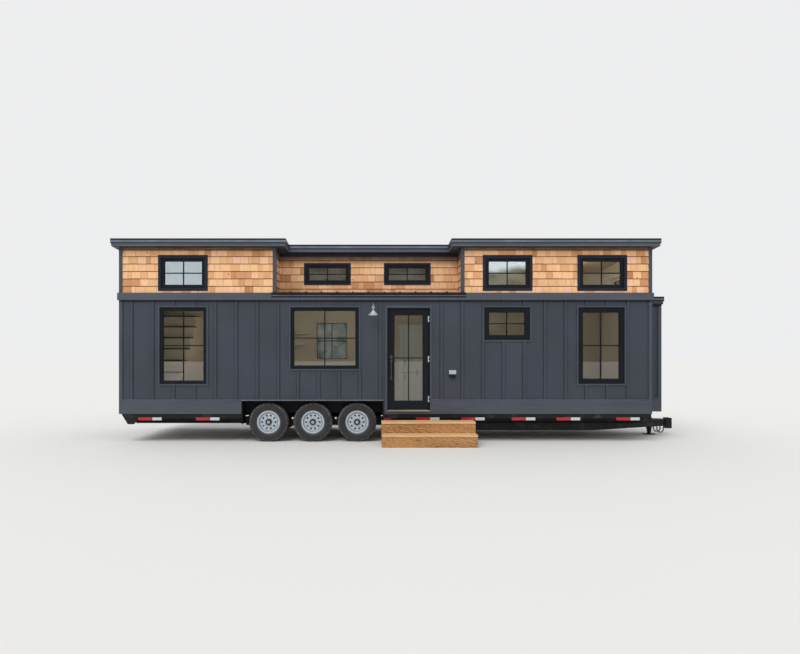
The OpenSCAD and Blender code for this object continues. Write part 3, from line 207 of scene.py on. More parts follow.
class Finish:
    """A Principled material and short names for the nodes that the finishes share."""

    def __init__(self, name, colour=(0.5, 0.5, 0.5), roughness=0.5, metallic=0.0):
        self.material = bpy.data.materials.new(name)
        self.material.use_nodes = True
        self.tree = self.material.node_tree
        self.tree.nodes.clear()
        self.output = self.node("ShaderNodeOutputMaterial")
        self.shader = self.node("ShaderNodeBsdfPrincipled", Base_Color=colour, Roughness=roughness,
                                Metallic=metallic)
        self.link(self.shader.outputs[0], self.output.inputs[0])

    def link(self, a, b):
        self.tree.links.new(a, b)

    def feed(self, socket, value):
        """Gives a socket a plain value or what a node puts out."""
        if isinstance(value, bpy.types.NodeSocket):
            self.link(value, socket)
        elif socket.type == "RGBA":
            socket.default_value = (*value, 1)
        else:
            socket.default_value = value

    def set(self, socket, value):
        self.feed(self.shader.inputs[socket], value)

    def node(self, kind, **inputs):
        """A new node with some inputs fed, each named with _ for a space."""
        node = self.tree.nodes.new(kind)
        for name, value in inputs.items():
            self.feed(node.inputs[name.replace("_", " ")], value)
        return node

    def base(self):
        """What feeds the base colour now."""
        return self.shader.inputs["Base Color"].links[0].from_socket

    def coords(self, scale=(1, 1, 1), shift=(0, 0, 0)):
        """Object coordinates, which are the house's own place in metres, stretched by scale."""
        source = self.node("ShaderNodeTexCoord").outputs["Object"]
        return self.node("ShaderNodeMapping", Vector=source, Scale=scale, Location=shift).outputs[0]

    def axis(self, name):
        """One object coordinate."""
        return self.node("ShaderNodeSeparateXYZ", Vector=self.coords()).outputs[name]

    def noise(self, vector, scale, detail=3.0, rough=0.5, distortion=0.0):
        return self.node("ShaderNodeTexNoise", Vector=vector, Scale=scale, Detail=detail,
                         Roughness=rough, Distortion=distortion).outputs["Fac"]

    def math(self, kind, *values):
        node = self.tree.nodes.new("ShaderNodeMath")
        node.operation = kind
        for socket, value in zip(node.inputs, values):
            self.feed(socket, value)
        return node.outputs[0]

    def product(self, first, *others):
        """All the values multiplied, which is 1 where every test is 1."""
        for other in others:
            first = self.math("MULTIPLY", first, other)
        return first

    def within(self, value, low, high):
        """1 where a value lies between low and high, and 0 elsewhere."""
        return self.product(self.math("GREATER_THAN", value, low), self.math("LESS_THAN", value, high))

    def between(self, value, low, high, out_low=0.0, out_high=1.0):
        """Value's place between low and high, smoothly from out_low to out_high."""
        node = self.node("ShaderNodeMapRange", Value=value, From_Min=low, From_Max=high,
                         To_Min=out_low, To_Max=out_high)
        node.interpolation_type = "SMOOTHSTEP"
        return node.outputs[0]

    def mix(self, share, a, b):
        """Colour a turned into colour b by a share."""
        node = self.tree.nodes.new("ShaderNodeMix")
        node.data_type = "RGBA"
        for number, value in ((0, share), (6, a), (7, b)):
            self.feed(node.inputs[number], value)
        return node.outputs[2]

    def mix_shader(self, share, a, b):
        """Shader a turned into shader b by a share."""
        node = self.tree.nodes.new("ShaderNodeMixShader")
        for socket, source in zip(node.inputs, (share, a, b)):
            self.link(source, socket)
        return node.outputs[0]

    def attribute(self, name):
        node = self.tree.nodes.new("ShaderNodeAttribute")
        node.attribute_type = "GEOMETRY"
        node.attribute_name = name
        return node.outputs["Fac"]

    def bump(self, height, strength, distance):
        """Adds relief to what bends the shader's normal already."""
        node = self.node("ShaderNodeBump", Height=height, Strength=strength, Distance=distance)
        normal = self.shader.inputs["Normal"]
        if normal.is_linked:
            self.link(normal.links[0].from_socket, node.inputs["Normal"])
        self.link(node.outputs[0], normal)


class WorldNodes(Finish):
    """The same short names for the nodes of the world."""

    def __init__(self, tree):
        self.tree = tree

    def background(self, colour, strength=1.0):
        return self.node("ShaderNodeBackground", Color=colour, Strength=strength).outputs[0]


def shade(colour, factor=1.0):
    """A colour, or a paint of the settings by its name, made lighter or darker by a factor."""
    if isinstance(colour, str):
        colour = getattr(settings().paints, colour)
    return tuple(min(1.0, channel * factor) for channel in colour)


made_finishes = {}


def finish(name):
    """The material of that name, made on its first use."""
    if name not in made_finishes:
        made_finishes[name] = FINISHES[name](name).material
    return made_finishes[name]


def painted_wood(name, colour, grain=(55, 55, 3.5), depth=0.0006, contrast=1.0):
    """Paint over embossed wood grain, with faint clouds of tone, a little dust and the band's shadow."""
    f = Finish(name, colour)
    f.set("Specular IOR Level", 0.35)
    ridges = f.noise(f.coords(grain), 1.0, detail=4, rough=0.6, distortion=0.4)
    clouds = f.between(f.noise(f.coords(), 0.9, detail=2), 0.3, 0.7)
    shaded = f.mix(clouds, shade(colour, 0.88), shade(colour, 1.10))
    shaded = f.mix(f.between(ridges, 0.40, 0.75, 0.0, 0.30 * contrast), shaded, shade(colour, 1.45))
    shaded = f.mix(f.between(ridges, 0.42, 0.25, 0.0, 0.35 * contrast), shaded, shade(colour, 0.60))
    z = f.axis("Z")
    shadow = f.product(f.math("LESS_THAN", z, BAND_Z + 0.001),
                       f.between(z, BAND_Z - 0.046, BAND_Z - 0.030, 0.0, 0.75))
    shaded = f.mix(shadow, shaded, shade(colour, 0.1))
    dust = f.product(f.between(z, 0.52, 0.80, 0.10, 0.0), f.noise(f.coords(), 7.0, detail=4))
    f.set("Base Color", f.mix(dust, shaded, (0.22, 0.19, 0.16)))
    f.set("Roughness", f.between(ridges, 0.2, 0.8, 0.42, 0.62))
    f.bump(ridges, 0.5, depth)
    return f


def over_plane(f, box, fall):
    """Height over a plane that starts at a box's highest front edge and falls to the back."""
    y = f.math("MULTIPLY", f.math("SUBTRACT", f.axis("Y"), box[0].y), fall)
    return f.math("ADD", f.math("SUBTRACT", f.axis("Z"), box[1].z), y)


def fascia_paint(name):
    """Painted fascia boards, and the dark metal drip edge over them."""
    f = painted_wood(name, shade("fascia"), grain=(3, 60, 60), depth=0.0003)
    fall, lowest_on_house = roof_fall(), 3.2
    house = f.math("GREATER_THAN", over_plane(f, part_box("roof_deck"), fall), -0.052)
    closet = f.math("GREATER_THAN", over_plane(f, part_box("closet_walls"), fall), 0.095)
    on_house = f.math("GREATER_THAN", f.axis("Z"), lowest_on_house)
    on_closet = f.math("SUBTRACT", 1.0, on_house)
    edge = f.math("ADD", f.product(house, on_house), f.product(closet, on_closet))
    f.set("Base Color", f.mix(edge, f.base(), shade("roof")))
    return f


def inside_mask(f, low, high):
    """1 within a box in x and y, and 0 outside it."""
    return f.product(f.within(f.axis("X"), low[0], high[0]), f.within(f.axis("Y"), low[1], high[1]))


def room_box():
    """The inside of the outer walls, reaching halfway into their thickness."""
    half = WALL_T / 2
    return ((LEFT_WALL_X + half, HOUSE_Y + half), (RIGHT_WALL_X - half, BACK_Y - half))


def lined(f, low, high):
    """Turns a wall's outside finish into white paint on its inside faces."""
    worn = f.mix(f.noise(f.coords(), 1.5), shade("interior", 0.96), shade("interior", 1.02))
    f.set("Base Color", f.mix(inside_mask(f, low, high), f.base(), worn))
    return f


def siding_wall(name):
    return lined(painted_wood(name, shade("siding")), *room_box())


CEDAR_LIGHT = (0.92, 0.57, 0.30)
CEDAR_MID = (0.77, 0.40, 0.19)
CEDAR_DARK = (0.44, 0.17, 0.06)
CEDAR_PINK = (0.92, 0.54, 0.35)


def under_eaves(f):
    """Shade under the roof's overhang: narrow on the outer walls, wide in the notch."""
    low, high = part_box("roof_deck")
    under = roof_edges()[0] - high.z
    rise = over_plane(f, (low, high), roof_fall())
    narrow = f.between(rise, under - 0.070, under - 0.045, 0.0, 0.72)
    wide = f.between(rise, under - 0.30, under - 0.07, 0.0, 0.85)
    recessed = f.within(f.axis("Y"), HOUSE_Y + 0.05, NOTCH_Y + 0.01)
    return f.math("MAXIMUM", narrow, f.product(wide, recessed))


def cedar_shingles(name):
    """Sawn cedar: each shingle's own tone, upright grain, streaks and a few knots, with painted shade on the
    butts' undersides, the sides, the strip under each course and under the eaves.
    """
    f = Finish(name, roughness=0.78)
    shift = f.node("ShaderNodeCombineXYZ", Z=f.math("MULTIPLY", f.attribute("grain_shift"), 50.0))
    shifted = f.tree.nodes.new("ShaderNodeVectorMath")
    shifted.operation = "ADD"
    f.link(f.coords((70, 70, 4)), shifted.inputs[0])
    f.link(shift.outputs[0], shifted.inputs[1])
    grain = f.noise(shifted.outputs[0], 1.0, detail=5, rough=0.65, distortion=0.5)
    broad = f.noise(f.coords((14, 14, 1.5)), 1.0, detail=2)
    tone = f.attribute("tone")
    warm = f.mix(f.between(tone, 0.0, 0.45), CEDAR_DARK, CEDAR_MID)
    warm = f.mix(f.between(tone, 0.35, 0.8), warm, CEDAR_LIGHT)
    warm = f.mix(f.between(tone, 0.84, 0.92), warm, CEDAR_PINK)
    streaks = f.math("MULTIPLY", f.between(grain, 0.38, 0.72), 0.38)
    colour = f.mix(streaks, warm, shade(CEDAR_DARK, 1.35))
    colour = f.mix(f.between(broad, 0.55, 0.8, 0.0, 0.25), colour, CEDAR_LIGHT)
    knots = f.node("ShaderNodeTexVoronoi", Vector=f.coords((5.1, 5.1, 3.7)), Scale=1.0)
    knot = f.between(knots.outputs["Distance"], 0.03, 0.10, 0.75, 0.0)
    colour = f.mix(knot, colour, (0.16, 0.07, 0.03))
    # The gap layer holds painted shade: the butts' undersides, the sides and the strip under the next course
    colour = f.mix(f.attribute("gap"), colour, shade(CEDAR_DARK, 0.35))
    # Painted shade under the eaves
    f.set("Base Color", f.mix(under_eaves(f), colour, (0.05, 0.018, 0.005)))
    f.bump(grain, 0.7, 0.0012)
    return f


def sheathing(name):
    """Dark boards that show between shingles, with painted shade under the eaves and white paint on the inside
    faces.
    """
    f = Finish(name, roughness=0.85)
    raw = f.mix(f.noise(f.coords((30, 30, 2)), 1.0), shade(CEDAR_DARK, 0.4), CEDAR_DARK)
    # Painted shade under the eaves
    f.set("Base Color", f.mix(under_eaves(f), raw, (0.012, 0.008, 0.006)))
    low, high = room_box()
    if name == "notch_sheathing":
        low = (low[0], NOTCH_Y + WALL_T / 2)
    return lined(f, low, high)


def satin_paint(name, colour, roughness=0.38, metallic=0.0, specular=0.22):
    """Smooth factory paint with a faint waviness and worn, paler spots."""
    f = Finish(name, colour, roughness, metallic)
    f.set("Specular IOR Level", specular)
    worn = f.between(f.noise(f.coords(), 3.0), 0.3, 0.75)
    f.set("Base Color", f.mix(worn, shade(colour, 0.88), shade(colour, 1.18)))
    waves = f.noise(f.coords(), 24.0)
    f.set("Roughness", f.between(waves, 0.25, 0.75, roughness - 0.07, roughness + 0.1))
    f.bump(f.noise(f.coords(), 160.0, detail=2), 0.12, 0.0004)
    return f


def window_paint(name):
    """Dark frames outside that are white on the side of the room."""
    low, high = room_box()
    return lined(satin_paint(name, shade("frames"), 0.36), (low[0], MIDDLE_Y), high)


def roof_metal(name):
    """Ribbed roof sheets, slightly buckled."""
    f = satin_paint(name, shade("roof"), 0.34, 0.35)
    f.bump(f.noise(f.coords((1.2, 1.2, 1.2)), 2.2), 0.15, 0.01)
    return f


def chassis_paint(name):
    """Black paint on rolled steel, with mill scale and road dust."""
    f = satin_paint(name, shade("chassis"), 0.48)
    dust = f.between(f.noise(f.coords(), 5.0, detail=5, rough=0.6), 0.52, 0.78, 0.0, 0.35)
    f.set("Base Color", f.mix(dust, f.base(), (0.14, 0.12, 0.10)))
    f.bump(f.noise(f.coords(), 90.0), 0.2, 0.0008)
    return f


def soffit(name):
    """Black soffit boards outside the walls and pale pine boards on the ceiling."""
    f = Finish(name, (0.02, 0.02, 0.022), 0.6)
    board_w, groove = 0.14, 0.05
    across = f.math("FRACT", f.math("MULTIPLY", f.axis("X"), 1 / board_w))
    line = f.math("LESS_THAN", across, groove)
    grain = f.noise(f.coords((2, 40, 2)), 1.0, detail=4)
    boards = f.mix(line, (0.030, 0.031, 0.036), (0.008, 0.008, 0.009))
    ceiling = f.mix(grain, (0.50, 0.36, 0.22), (0.66, 0.51, 0.34))
    ceiling = f.mix(line, ceiling, (0.20, 0.13, 0.08))
    notch = f.product(f.within(f.axis("X"), *notch_ends()),
                      f.math("LESS_THAN", f.axis("Y"), NOTCH_Y + WALL_T / 2))
    indoors = f.product(inside_mask(f, *room_box()), f.math("SUBTRACT", 1.0, notch))
    f.set("Base Color", f.mix(indoors, boards, ceiling))
    f.bump(f.math("SUBTRACT", 1.0, line), 0.6, 0.003)
    return f


def brushed_steel(name):
    """Bright steel with fine scratches round it."""
    f = Finish(name, (0.72, 0.72, 0.73), 0.3, 1.0)
    scratches = f.noise(f.coords((30, 30, 900)), 1.0)
    f.set("Roughness", f.between(scratches, 0.3, 0.7, 0.22, 0.4))
    f.bump(scratches, 0.15, 0.0002)
    return f


def satin_nickel(name):
    """Pale, evenly brushed plating on the hinges."""
    f = Finish(name, (0.60, 0.61, 0.62), 0.4, 0.2)
    scratches = f.noise(f.coords((30, 30, 900)), 1.0)
    f.set("Base Color", f.mix(scratches, (0.54, 0.55, 0.57), (0.66, 0.67, 0.68)))
    f.bump(scratches, 0.15, 0.0002)
    return f


def galvanised(name):
    """Hot-dipped zinc with its spangle."""
    f = Finish(name, (0.62, 0.63, 0.64), 0.38, 0.9)
    spangle = f.node("ShaderNodeTexVoronoi", Vector=f.coords(), Scale=60.0)
    tone = f.node("ShaderNodeSeparateColor", Color=spangle.outputs["Color"]).outputs
    f.set("Base Color", f.mix(tone[0], (0.50, 0.51, 0.53), (0.78, 0.79, 0.80)))
    f.set("Roughness", f.between(tone[1], 0, 1, 0.28, 0.48))
    return f


def weathered_sill(name):
    """A bare threshold, greyed along its grain."""
    f = Finish(name, (0.32, 0.25, 0.18), 0.55)
    grain = f.noise(f.coords((3, 60, 60)), 1.0, detail=5, rough=0.6)
    f.set("Base Color", f.mix(f.between(grain, 0.3, 0.7), (0.27, 0.22, 0.16), (0.50, 0.42, 0.33)))
    f.bump(grain, 0.4, 0.0005)
    return f


def sawn_timber(name, light, dark, stretch=(0.12, 1.0, 1.0), shift=0.0, coarse=0.35):
    """Planed softwood with rings along one axis and a few knots."""
    f = Finish(name, light, 0.62)
    rings = f.node("ShaderNodeTexWave", Vector=f.coords(stretch, (shift, shift, 0)), Scale=9.0,
                   Distortion=7.0, Detail=3.0, Detail_Scale=1.6)
    rings.wave_type = "BANDS"
    rings.bands_direction = "DIAGONAL"
    fine = f.noise(f.coords(tuple(s * 45 for s in stretch)), 1.0, detail=4, rough=0.6)
    broad = f.noise(f.coords(tuple(s * 1.5 for s in stretch)), 1.6, detail=2)
    colour = f.mix(f.math("MULTIPLY", rings.outputs["Fac"], 0.62), light, dark)
    colour = f.mix(f.between(fine, 0.45, 0.75, 0.0, coarse), colour, shade(dark, 0.75))
    colour = f.mix(f.between(broad, 0.35, 0.7, 0.0, 0.4), colour, shade(light, 1.15))
    wide = f.coords(tuple(max(s, 0.5) for s in stretch))
    knots = f.node("ShaderNodeTexVoronoi", Vector=wide, Scale=2.6)
    knot = f.between(knots.outputs["Distance"], 0.07, 0.17, 0.85, 0.0)
    f.set("Base Color", f.mix(knot, colour, shade(dark, 0.45)))
    f.bump(fine, 0.35, 0.0006)
    return f


def interior_paint(name):
    """White paint on the inside boards."""
    f = Finish(name, shade("interior"), 0.6)
    patches = f.noise(f.coords(), 1.4)
    f.set("Base Color", f.mix(patches, shade("interior", 0.95), shade("interior", 1.02)))
    f.bump(f.noise(f.coords(), 220.0, detail=2), 0.15, 0.0003)
    return f


def wheel_distance(f):
    """Distance from the nearest axle's line, measured in the house's own place at rest."""
    first, second = [sum(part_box(f"tyre_front_{i}"), Vector()) / 2 for i in (1, 2)]
    gap = second.x - first.x
    share = f.math("DIVIDE", f.math("SUBTRACT", f.axis("X"), first.x - gap / 2), gap)
    x = f.math("MULTIPLY", f.math("SUBTRACT", f.math("FRACT", share), 0.5), gap)
    z = f.math("SUBTRACT", f.axis("Z"), first.z)
    return f.math("SQRT", f.math("ADD", f.product(x, x), f.product(z, z)))


def rubber(name):
    """Tyre rubber, evenly worn, with pale dust on the shoulders and in the sidewall's rings."""
    f = Finish(name, (0.05, 0.05, 0.055), 0.72)
    f.set("Specular IOR Level", 0.25)
    radius = wheel_distance(f)
    soft = f.noise(f.coords(), 5.0)
    base = f.mix(f.between(soft, 0.3, 0.7), (0.026, 0.026, 0.030), (0.040, 0.040, 0.045))
    spots = f.between(f.noise(f.coords(), 26.0, detail=4), 0.35, 0.7)
    shoulder = f.product(f.between(radius, 0.325, 0.372, 0.0, 0.75), spots)
    base = f.mix(shoulder, base, (0.20, 0.18, 0.16))
    near_rim = f.between(radius, 0.262, 0.228, 0.0, 0.40)
    base = f.mix(near_rim, base, (0.15, 0.14, 0.135))
    rings = f.between(f.math("SINE", f.math("MULTIPLY", radius, 260.0)), 0.80, 1.0, 0.0, 0.30)
    f.set("Base Color", f.mix(rings, base, (0.010, 0.010, 0.011)))
    f.set("Roughness", f.between(soft, 0.3, 0.7, 0.6, 0.80))
    f.bump(f.noise(f.coords(), 240.0), 0.25, 0.0004)
    return f


def wheel_paint(name):
    """Silver steel wheel, with its hub ring black, and its inside behind the vents, drum and all, painted black
    as shade.
    """
    f = Finish(name, shade("wheels"), 0.36, 0.25)
    dust = f.noise(f.coords(), 12.0, detail=4, rough=0.6)
    painted = f.mix(f.between(dust, 0.5, 0.85, 0.0, 0.3), shade("wheels"), (0.30, 0.28, 0.26))
    radius = wheel_distance(f)
    low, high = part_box("tyre_front_1")
    from_middle = f.math("ABSOLUTE", f.math("SUBTRACT", f.axis("Y"), MIDDLE_Y))
    outward = f.math("SUBTRACT", from_middle, MIDDLE_Y - (low.y + high.y) / 2)
    # Painted shade: black inside the wheel behind the vents, partly the drum's own dark steel
    deep = f.product(f.math("LESS_THAN", outward, 0.0325), f.math("LESS_THAN", radius, 0.150))
    ring = f.product(f.within(radius, 0.029, 0.0635), f.math("GREATER_THAN", outward, 0.0632))
    shade_and_ring = f.math("MAXIMUM", deep, ring)
    f.set("Base Color", f.mix(shade_and_ring, painted, (0.016, 0.016, 0.018)))
    f.set("Metallic", f.between(shade_and_ring, 0.0, 1.0, 0.25, 0.0))
    f.set("Roughness", f.between(dust, 0.3, 0.7, 0.28, 0.46))
    return f


def plain_chrome(name):
    """Bright zinc on bolt heads."""
    f = Finish(name, (0.80, 0.81, 0.83), 0.16, 1.0)
    f.set("Roughness", f.between(f.noise(f.coords(), 60.0), 0.3, 0.7, 0.10, 0.24))
    return f


def outlet_plastic(name):
    """Pale grey hood, with the cover below it near black."""
    f = Finish(name, (0.38, 0.44, 0.49), 0.42)
    low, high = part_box("outlet_cover")
    hood = f.math("GREATER_THAN", f.axis("Z"), low.z + 0.47 * (high.z - low.z))
    pale = f.mix(f.noise(f.coords(), 30.0), (0.30, 0.36, 0.40), (0.40, 0.46, 0.49))
    f.set("Specular IOR Level", 0.2)
    f.set("Base Color", f.mix(hood, (0.008, 0.008, 0.009), pale))
    f.bump(f.noise(f.coords(), 500.0), 0.2, 0.0003)
    return f


def prism_tape(name, colour):
    """Reflecting tape with its fine honeycomb of cells."""
    f = Finish(name, colour, 0.3)
    cells = f.node("ShaderNodeTexVoronoi", Vector=f.coords(), Scale=170.0, Randomness=0.25)
    cells.feature = "DISTANCE_TO_EDGE"
    edge = f.between(cells.outputs["Distance"], 0.0, 0.12)
    f.set("Base Color", f.mix(edge, shade(colour, 0.62), colour))
    f.set("Coat Weight", 0.2)
    f.bump(edge, 0.3, 0.0004)
    return f


def red_lens(name):
    """Ribbed red lens of a side marker."""
    f = Finish(name, (0.34, 0.008, 0.010), 0.2)
    f.set("Coat Weight", 0.8)
    f.bump(f.noise(f.coords((400, 8, 8)), 1.0), 0.4, 0.0006)
    return f


def chain_bronze(name):
    """Yellow zinc on chain links, browned by weather."""
    f = Finish(name, (0.16, 0.12, 0.06), 0.45, 0.7)
    rust = f.between(f.noise(f.coords(), 40.0, detail=4), 0.35, 0.7)
    f.set("Base Color", f.mix(rust, (0.20, 0.15, 0.07), (0.07, 0.045, 0.03)))
    return f


def kitchen_paint(name):
    """White cabinet doors with the dark seams between them."""
    f = Finish(name, shade("cabinets"), 0.45)
    door_w, seam_share, split_z, half_seam = 0.425, 0.012, 1.311, 0.003
    upright = f.math("LESS_THAN", f.math("FRACT", f.math("DIVIDE", f.axis("X"), door_w)), seam_share)
    from_split = f.math("ABSOLUTE", f.math("SUBTRACT", f.axis("Z"), split_z))
    seam = f.math("MAXIMUM", upright, f.math("LESS_THAN", from_split, half_seam))
    f.set("Base Color", f.mix(seam, shade("cabinets"), (0.10, 0.10, 0.10)))
    return f


def lamp_glow(name):
    """Frosted glass of the lamp's bulb."""
    f = Finish(name, (0.85, 0.84, 0.80), 0.3)
    f.set("Base Color", f.mix(f.noise(f.coords(), 90.0), (0.80, 0.79, 0.75), (0.90, 0.89, 0.86)))
    return f


def pane(name):
    """Clear glass that lets the light of lamps and of the room through unbent."""
    sizes = settings().glazing
    f = Finish(name, (0.95, 0.96, 0.95), 0.0)
    f.set("Transmission Weight", 1.0)
    f.set("IOR", sizes.lower_ior if name == "lower_glass" else sizes.upper_ior)
    path = f.node("ShaderNodeLightPath").outputs
    through = f.math("MAXIMUM", path["Is Shadow Ray"], path["Is Diffuse Ray"])
    clear = f.node("ShaderNodeBsdfTransparent", Color=(0.92, 0.92, 0.90)).outputs[0]
    f.link(f.mix_shader(through, f.shader.outputs[0], clear), f.output.inputs[0])
    return f


def coat(maker, colour, factor=1.0, **values):
    """A finish that one maker lays in one colour or paint."""
    return lambda name: maker(name, shade(colour, factor), **values)


FINISHES = {make.__name__: make for make in (
    siding_wall, fascia_paint, cedar_shingles, window_paint, roof_metal, chassis_paint, soffit,
    brushed_steel, satin_nickel, galvanised, weathered_sill, interior_paint, rubber, wheel_paint,
    plain_chrome, outlet_plastic, red_lens, chain_bronze, kitchen_paint, lamp_glow,
)}
FINISHES.update({
    "cedar_sheathing": sheathing,
    "notch_sheathing": sheathing,
    "lower_glass": pane,
    "upper_glass": pane,
    "siding_paint": coat(painted_wood, "siding"),
    # Painted shadow beside the battens
    "seam_caulk": coat(painted_wood, "siding", 0.22),
    "trim_paint": coat(painted_wood, "trim", grain=(22, 22, 6), depth=0.0003),
    "skirt_paint": coat(painted_wood, "trim", grain=(2.5, 55, 55), contrast=2.2),
    "band_paint": coat(painted_wood, "trim", 1.25, grain=(2.5, 55, 55)),
    # Painted highlight on the metal's folded edges
    "hem_metal": coat(satin_paint, "hem", roughness=0.34, metallic=0.4),
    "frame_paint": coat(satin_paint, "frames", roughness=0.36),
    "casing_paint": coat(satin_paint, "upper_casings", roughness=0.36),
    "liner_black": coat(satin_paint, "chassis", 0.8, roughness=0.6),
    "tread_board": coat(satin_paint, (0.018, 0.015, 0.013), roughness=0.4),
    "black_hardware": coat(satin_paint, (0.016, 0.016, 0.019), roughness=0.32),
    "handle_metal": coat(satin_paint, (0.030, 0.033, 0.042), roughness=0.20, specular=0.9),
    "lamp_metal": coat(satin_paint, (0.36, 0.37, 0.40), roughness=0.36, metallic=0.35, specular=0.5),
    "tape_red": coat(prism_tape, (0.50, 0.008, 0.018)),
    "tape_white": coat(prism_tape, (0.60, 0.65, 0.70)),
    "floor_boards": coat(sawn_timber, (0.42, 0.30, 0.20), dark=(0.26, 0.17, 0.10), shift=1.3),
    "step_boards": coat(sawn_timber, (0.74, 0.46, 0.235), dark=(0.46, 0.25, 0.10)),
    "step_sides": coat(sawn_timber, (0.52, 0.26, 0.088), dark=(0.10, 0.034, 0.008),
                       stretch=(0.45, 1.6, 1.6), shift=3.7, coarse=0.75),
})


CAD_FINISHES = {
    "chassis_paint": ["side_rails", "cross_members", "main_beams", "tongue", "coupler", "jack",
                      "axles", "leaf_springs", "spring_hangers"],
    "liner_black": ["wheel_wells"],
    "floor_boards": ["floor"],
    "siding_wall": ["front_wall_left", "front_wall_right", "front_wall_over_door", "back_wall",
                    "end_walls"],
    "cedar_sheathing": ["upper_front_walls"],
    "notch_sheathing": ["notch_wall"],
    "soffit": ["roof_deck"],
    "roof_metal": ["roof_sheets", "ledge_roof", "closet_roof"],
    "fascia_paint": ["fascia"],
    "band_paint": ["belly_band"],
    "trim_paint": ["corner_boards", "lower_casings", "door_casings"],
    "skirt_paint": ["skirt_boards"],
    "window_paint": ["window_frames"],
    "casing_paint": ["upper_casings"],
    "frame_paint": ["door_frame", "door_leaf"],
    "siding_paint": ["closet_walls"],
    "weathered_sill": ["threshold"],
    "satin_nickel": ["hinge_leaves"],
    "black_hardware": ["door_hinges"],
    "lamp_metal": ["wall_lamp"],
    "chain_bronze": ["safety_chains"],
    "kitchen_paint": ["kitchen_fittings"],
    "outlet_plastic": ["outlet_cover"],
    "interior_paint": ["loft_floors", "stair_body"],
    "tread_board": ["stair_treads"],
    "step_boards": ["step_treads"],
    "step_sides": ["step_frame"],
    "handle_metal": ["door_handle"],
    "lower_glass": ["door_glass", "window_glass"],
    "rubber": [f"tyre_{side}_{i}" for side, i in WHEELS],
    "wheel_paint": [f"wheel_{side}_{i}" for side, i in WHEELS],
}


def add_box(bm, low, high):
    """Adds a block between two opposite corners."""
    low, high = Vector(low), Vector(high)
    verts = bmesh.ops.create_cube(bm, size=1.0)["verts"]
    bmesh.ops.scale(bm, vec=high - low, verts=verts)
    bmesh.ops.translate(bm, vec=(low + high) / 2, verts=verts)


def add_disc(bm, place, radius, depth, sides=24, top=None, start=0.0):
    """Adds a round or many-sided post along a place's z, from start over its depth."""
    verts = bmesh.ops.create_cone(
        bm, cap_ends=True, segments=sides, radius1=radius,
        radius2=radius if top is None else top, depth=depth,
    )["verts"]
    bmesh.ops.transform(bm, matrix=place @ Matrix.Translation((0, 0, start + depth / 2)), verts=verts)


def join_rings(bm, rings):
    """Fills the faces between each ring of corners and the next, and from the last to the first."""
    for a, b in zip(rings, rings[1:] + rings[:1]):
        for i in range(len(a)):
            j = (i + 1) % len(a)
            bm.faces.new((a[i], a[j], b[j], b[i]))


def add_ring(bm, place, inner, outer, height, count=32):
    """Adds a flat ring that stands on the XY plane of a place."""
    rings = []
    for radius, z in ((inner, 0.0), (outer, 0.0), (outer, height), (inner, height)):
        turns = [math.tau * i / count for i in range(count)]
        rings.append([bm.verts.new(place @ Vector((radius * math.cos(a), radius * math.sin(a), z)))
                      for a in turns])
    join_rings(bm, rings)


def bevel_edges(bm, width, segments=2):
    bmesh.ops.bevel(
        bm, geom=bm.edges[:], offset=width, segments=segments, profile=0.5, affect="EDGES",
        material=-1, clamp_overlap=True,
    )


def add_object(name, data):
    """Puts a mesh, a lamp or a camera in the scene."""
    made = bpy.data.objects.new(name, data)
    bpy.context.scene.collection.objects.link(made)
    return made


def add_mesh(name, bm):
    mesh = bpy.data.meshes.new(name)
    bm.to_mesh(mesh)
    bm.free()
    return add_object(name, mesh)


def make_piece(name, bm, finish_name, body=HOUSE, smooth=False, replaces=()):
    """Turns a bmesh into a piece that rides on a body."""
    piece = add_mesh(name, bm)
    mesh = piece.data
    if smooth:
        mesh.polygons.foreach_set("use_smooth", [True] * len(mesh.polygons))
        mesh.set_sharp_from_angle(angle=math.radians(38))
    mesh.materials.append(finish(finish_name))
    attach(piece, body)
    if replaces:
        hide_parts(*replaces)


def solid_boxes(node):
    """(lowest corner, highest corner) of each separate solid in a CAD node."""
    bm = bmesh.new()
    bm.from_mesh(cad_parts[node].data)
    bmesh.ops.remove_doubles(bm, verts=bm.verts, dist=1e-5)
    seen, boxes = set(), []
    for start in bm.verts:
        if start in seen:
            continue
        seen.add(start)
        group, todo = [], [start]
        while todo:
            vert = todo.pop()
            group.append(vert.co.copy())
            for edge in vert.link_edges:
                other = edge.other_vert(vert)
                if other not in seen:
                    seen.add(other)
                    todo.append(other)
        boxes.append(tuple(Vector([pick(p[i] for p in group) for i in range(3)]) for pick in (min, max)))
    bm.free()
    return boxes


class Wall:
    """A wall's face. In its own frame u runs along it, y into it and z up."""

    def __init__(self, origin, along, u_end):
        self.origin = Vector((*origin, 0))
        self.along = Vector((*along, 0))
        self.inward = UP.cross(self.along)
        self.u_end = u_end
        columns = (self.along, self.inward, UP, self.origin)
        self.matrix = Matrix([[v[i] for v in columns] for i in range(3)] + [[0, 0, 0, 1]])

    def patch(self, box):
        """(u0, u1, z0, z1) of a box that touches the wall's face, or None."""
        corners = [Vector((x, y, 0)) - self.origin for x in (box[0].x, box[1].x)
                   for y in (box[0].y, box[1].y)]
        us = [c.dot(self.along) for c in corners]
        depths = [c.dot(self.inward) for c in corners]
        touching = 0.001
        if min(depths) > touching or max(depths) < -touching:
            return None
        return (min(us), max(us), box[0].z, box[1].z)


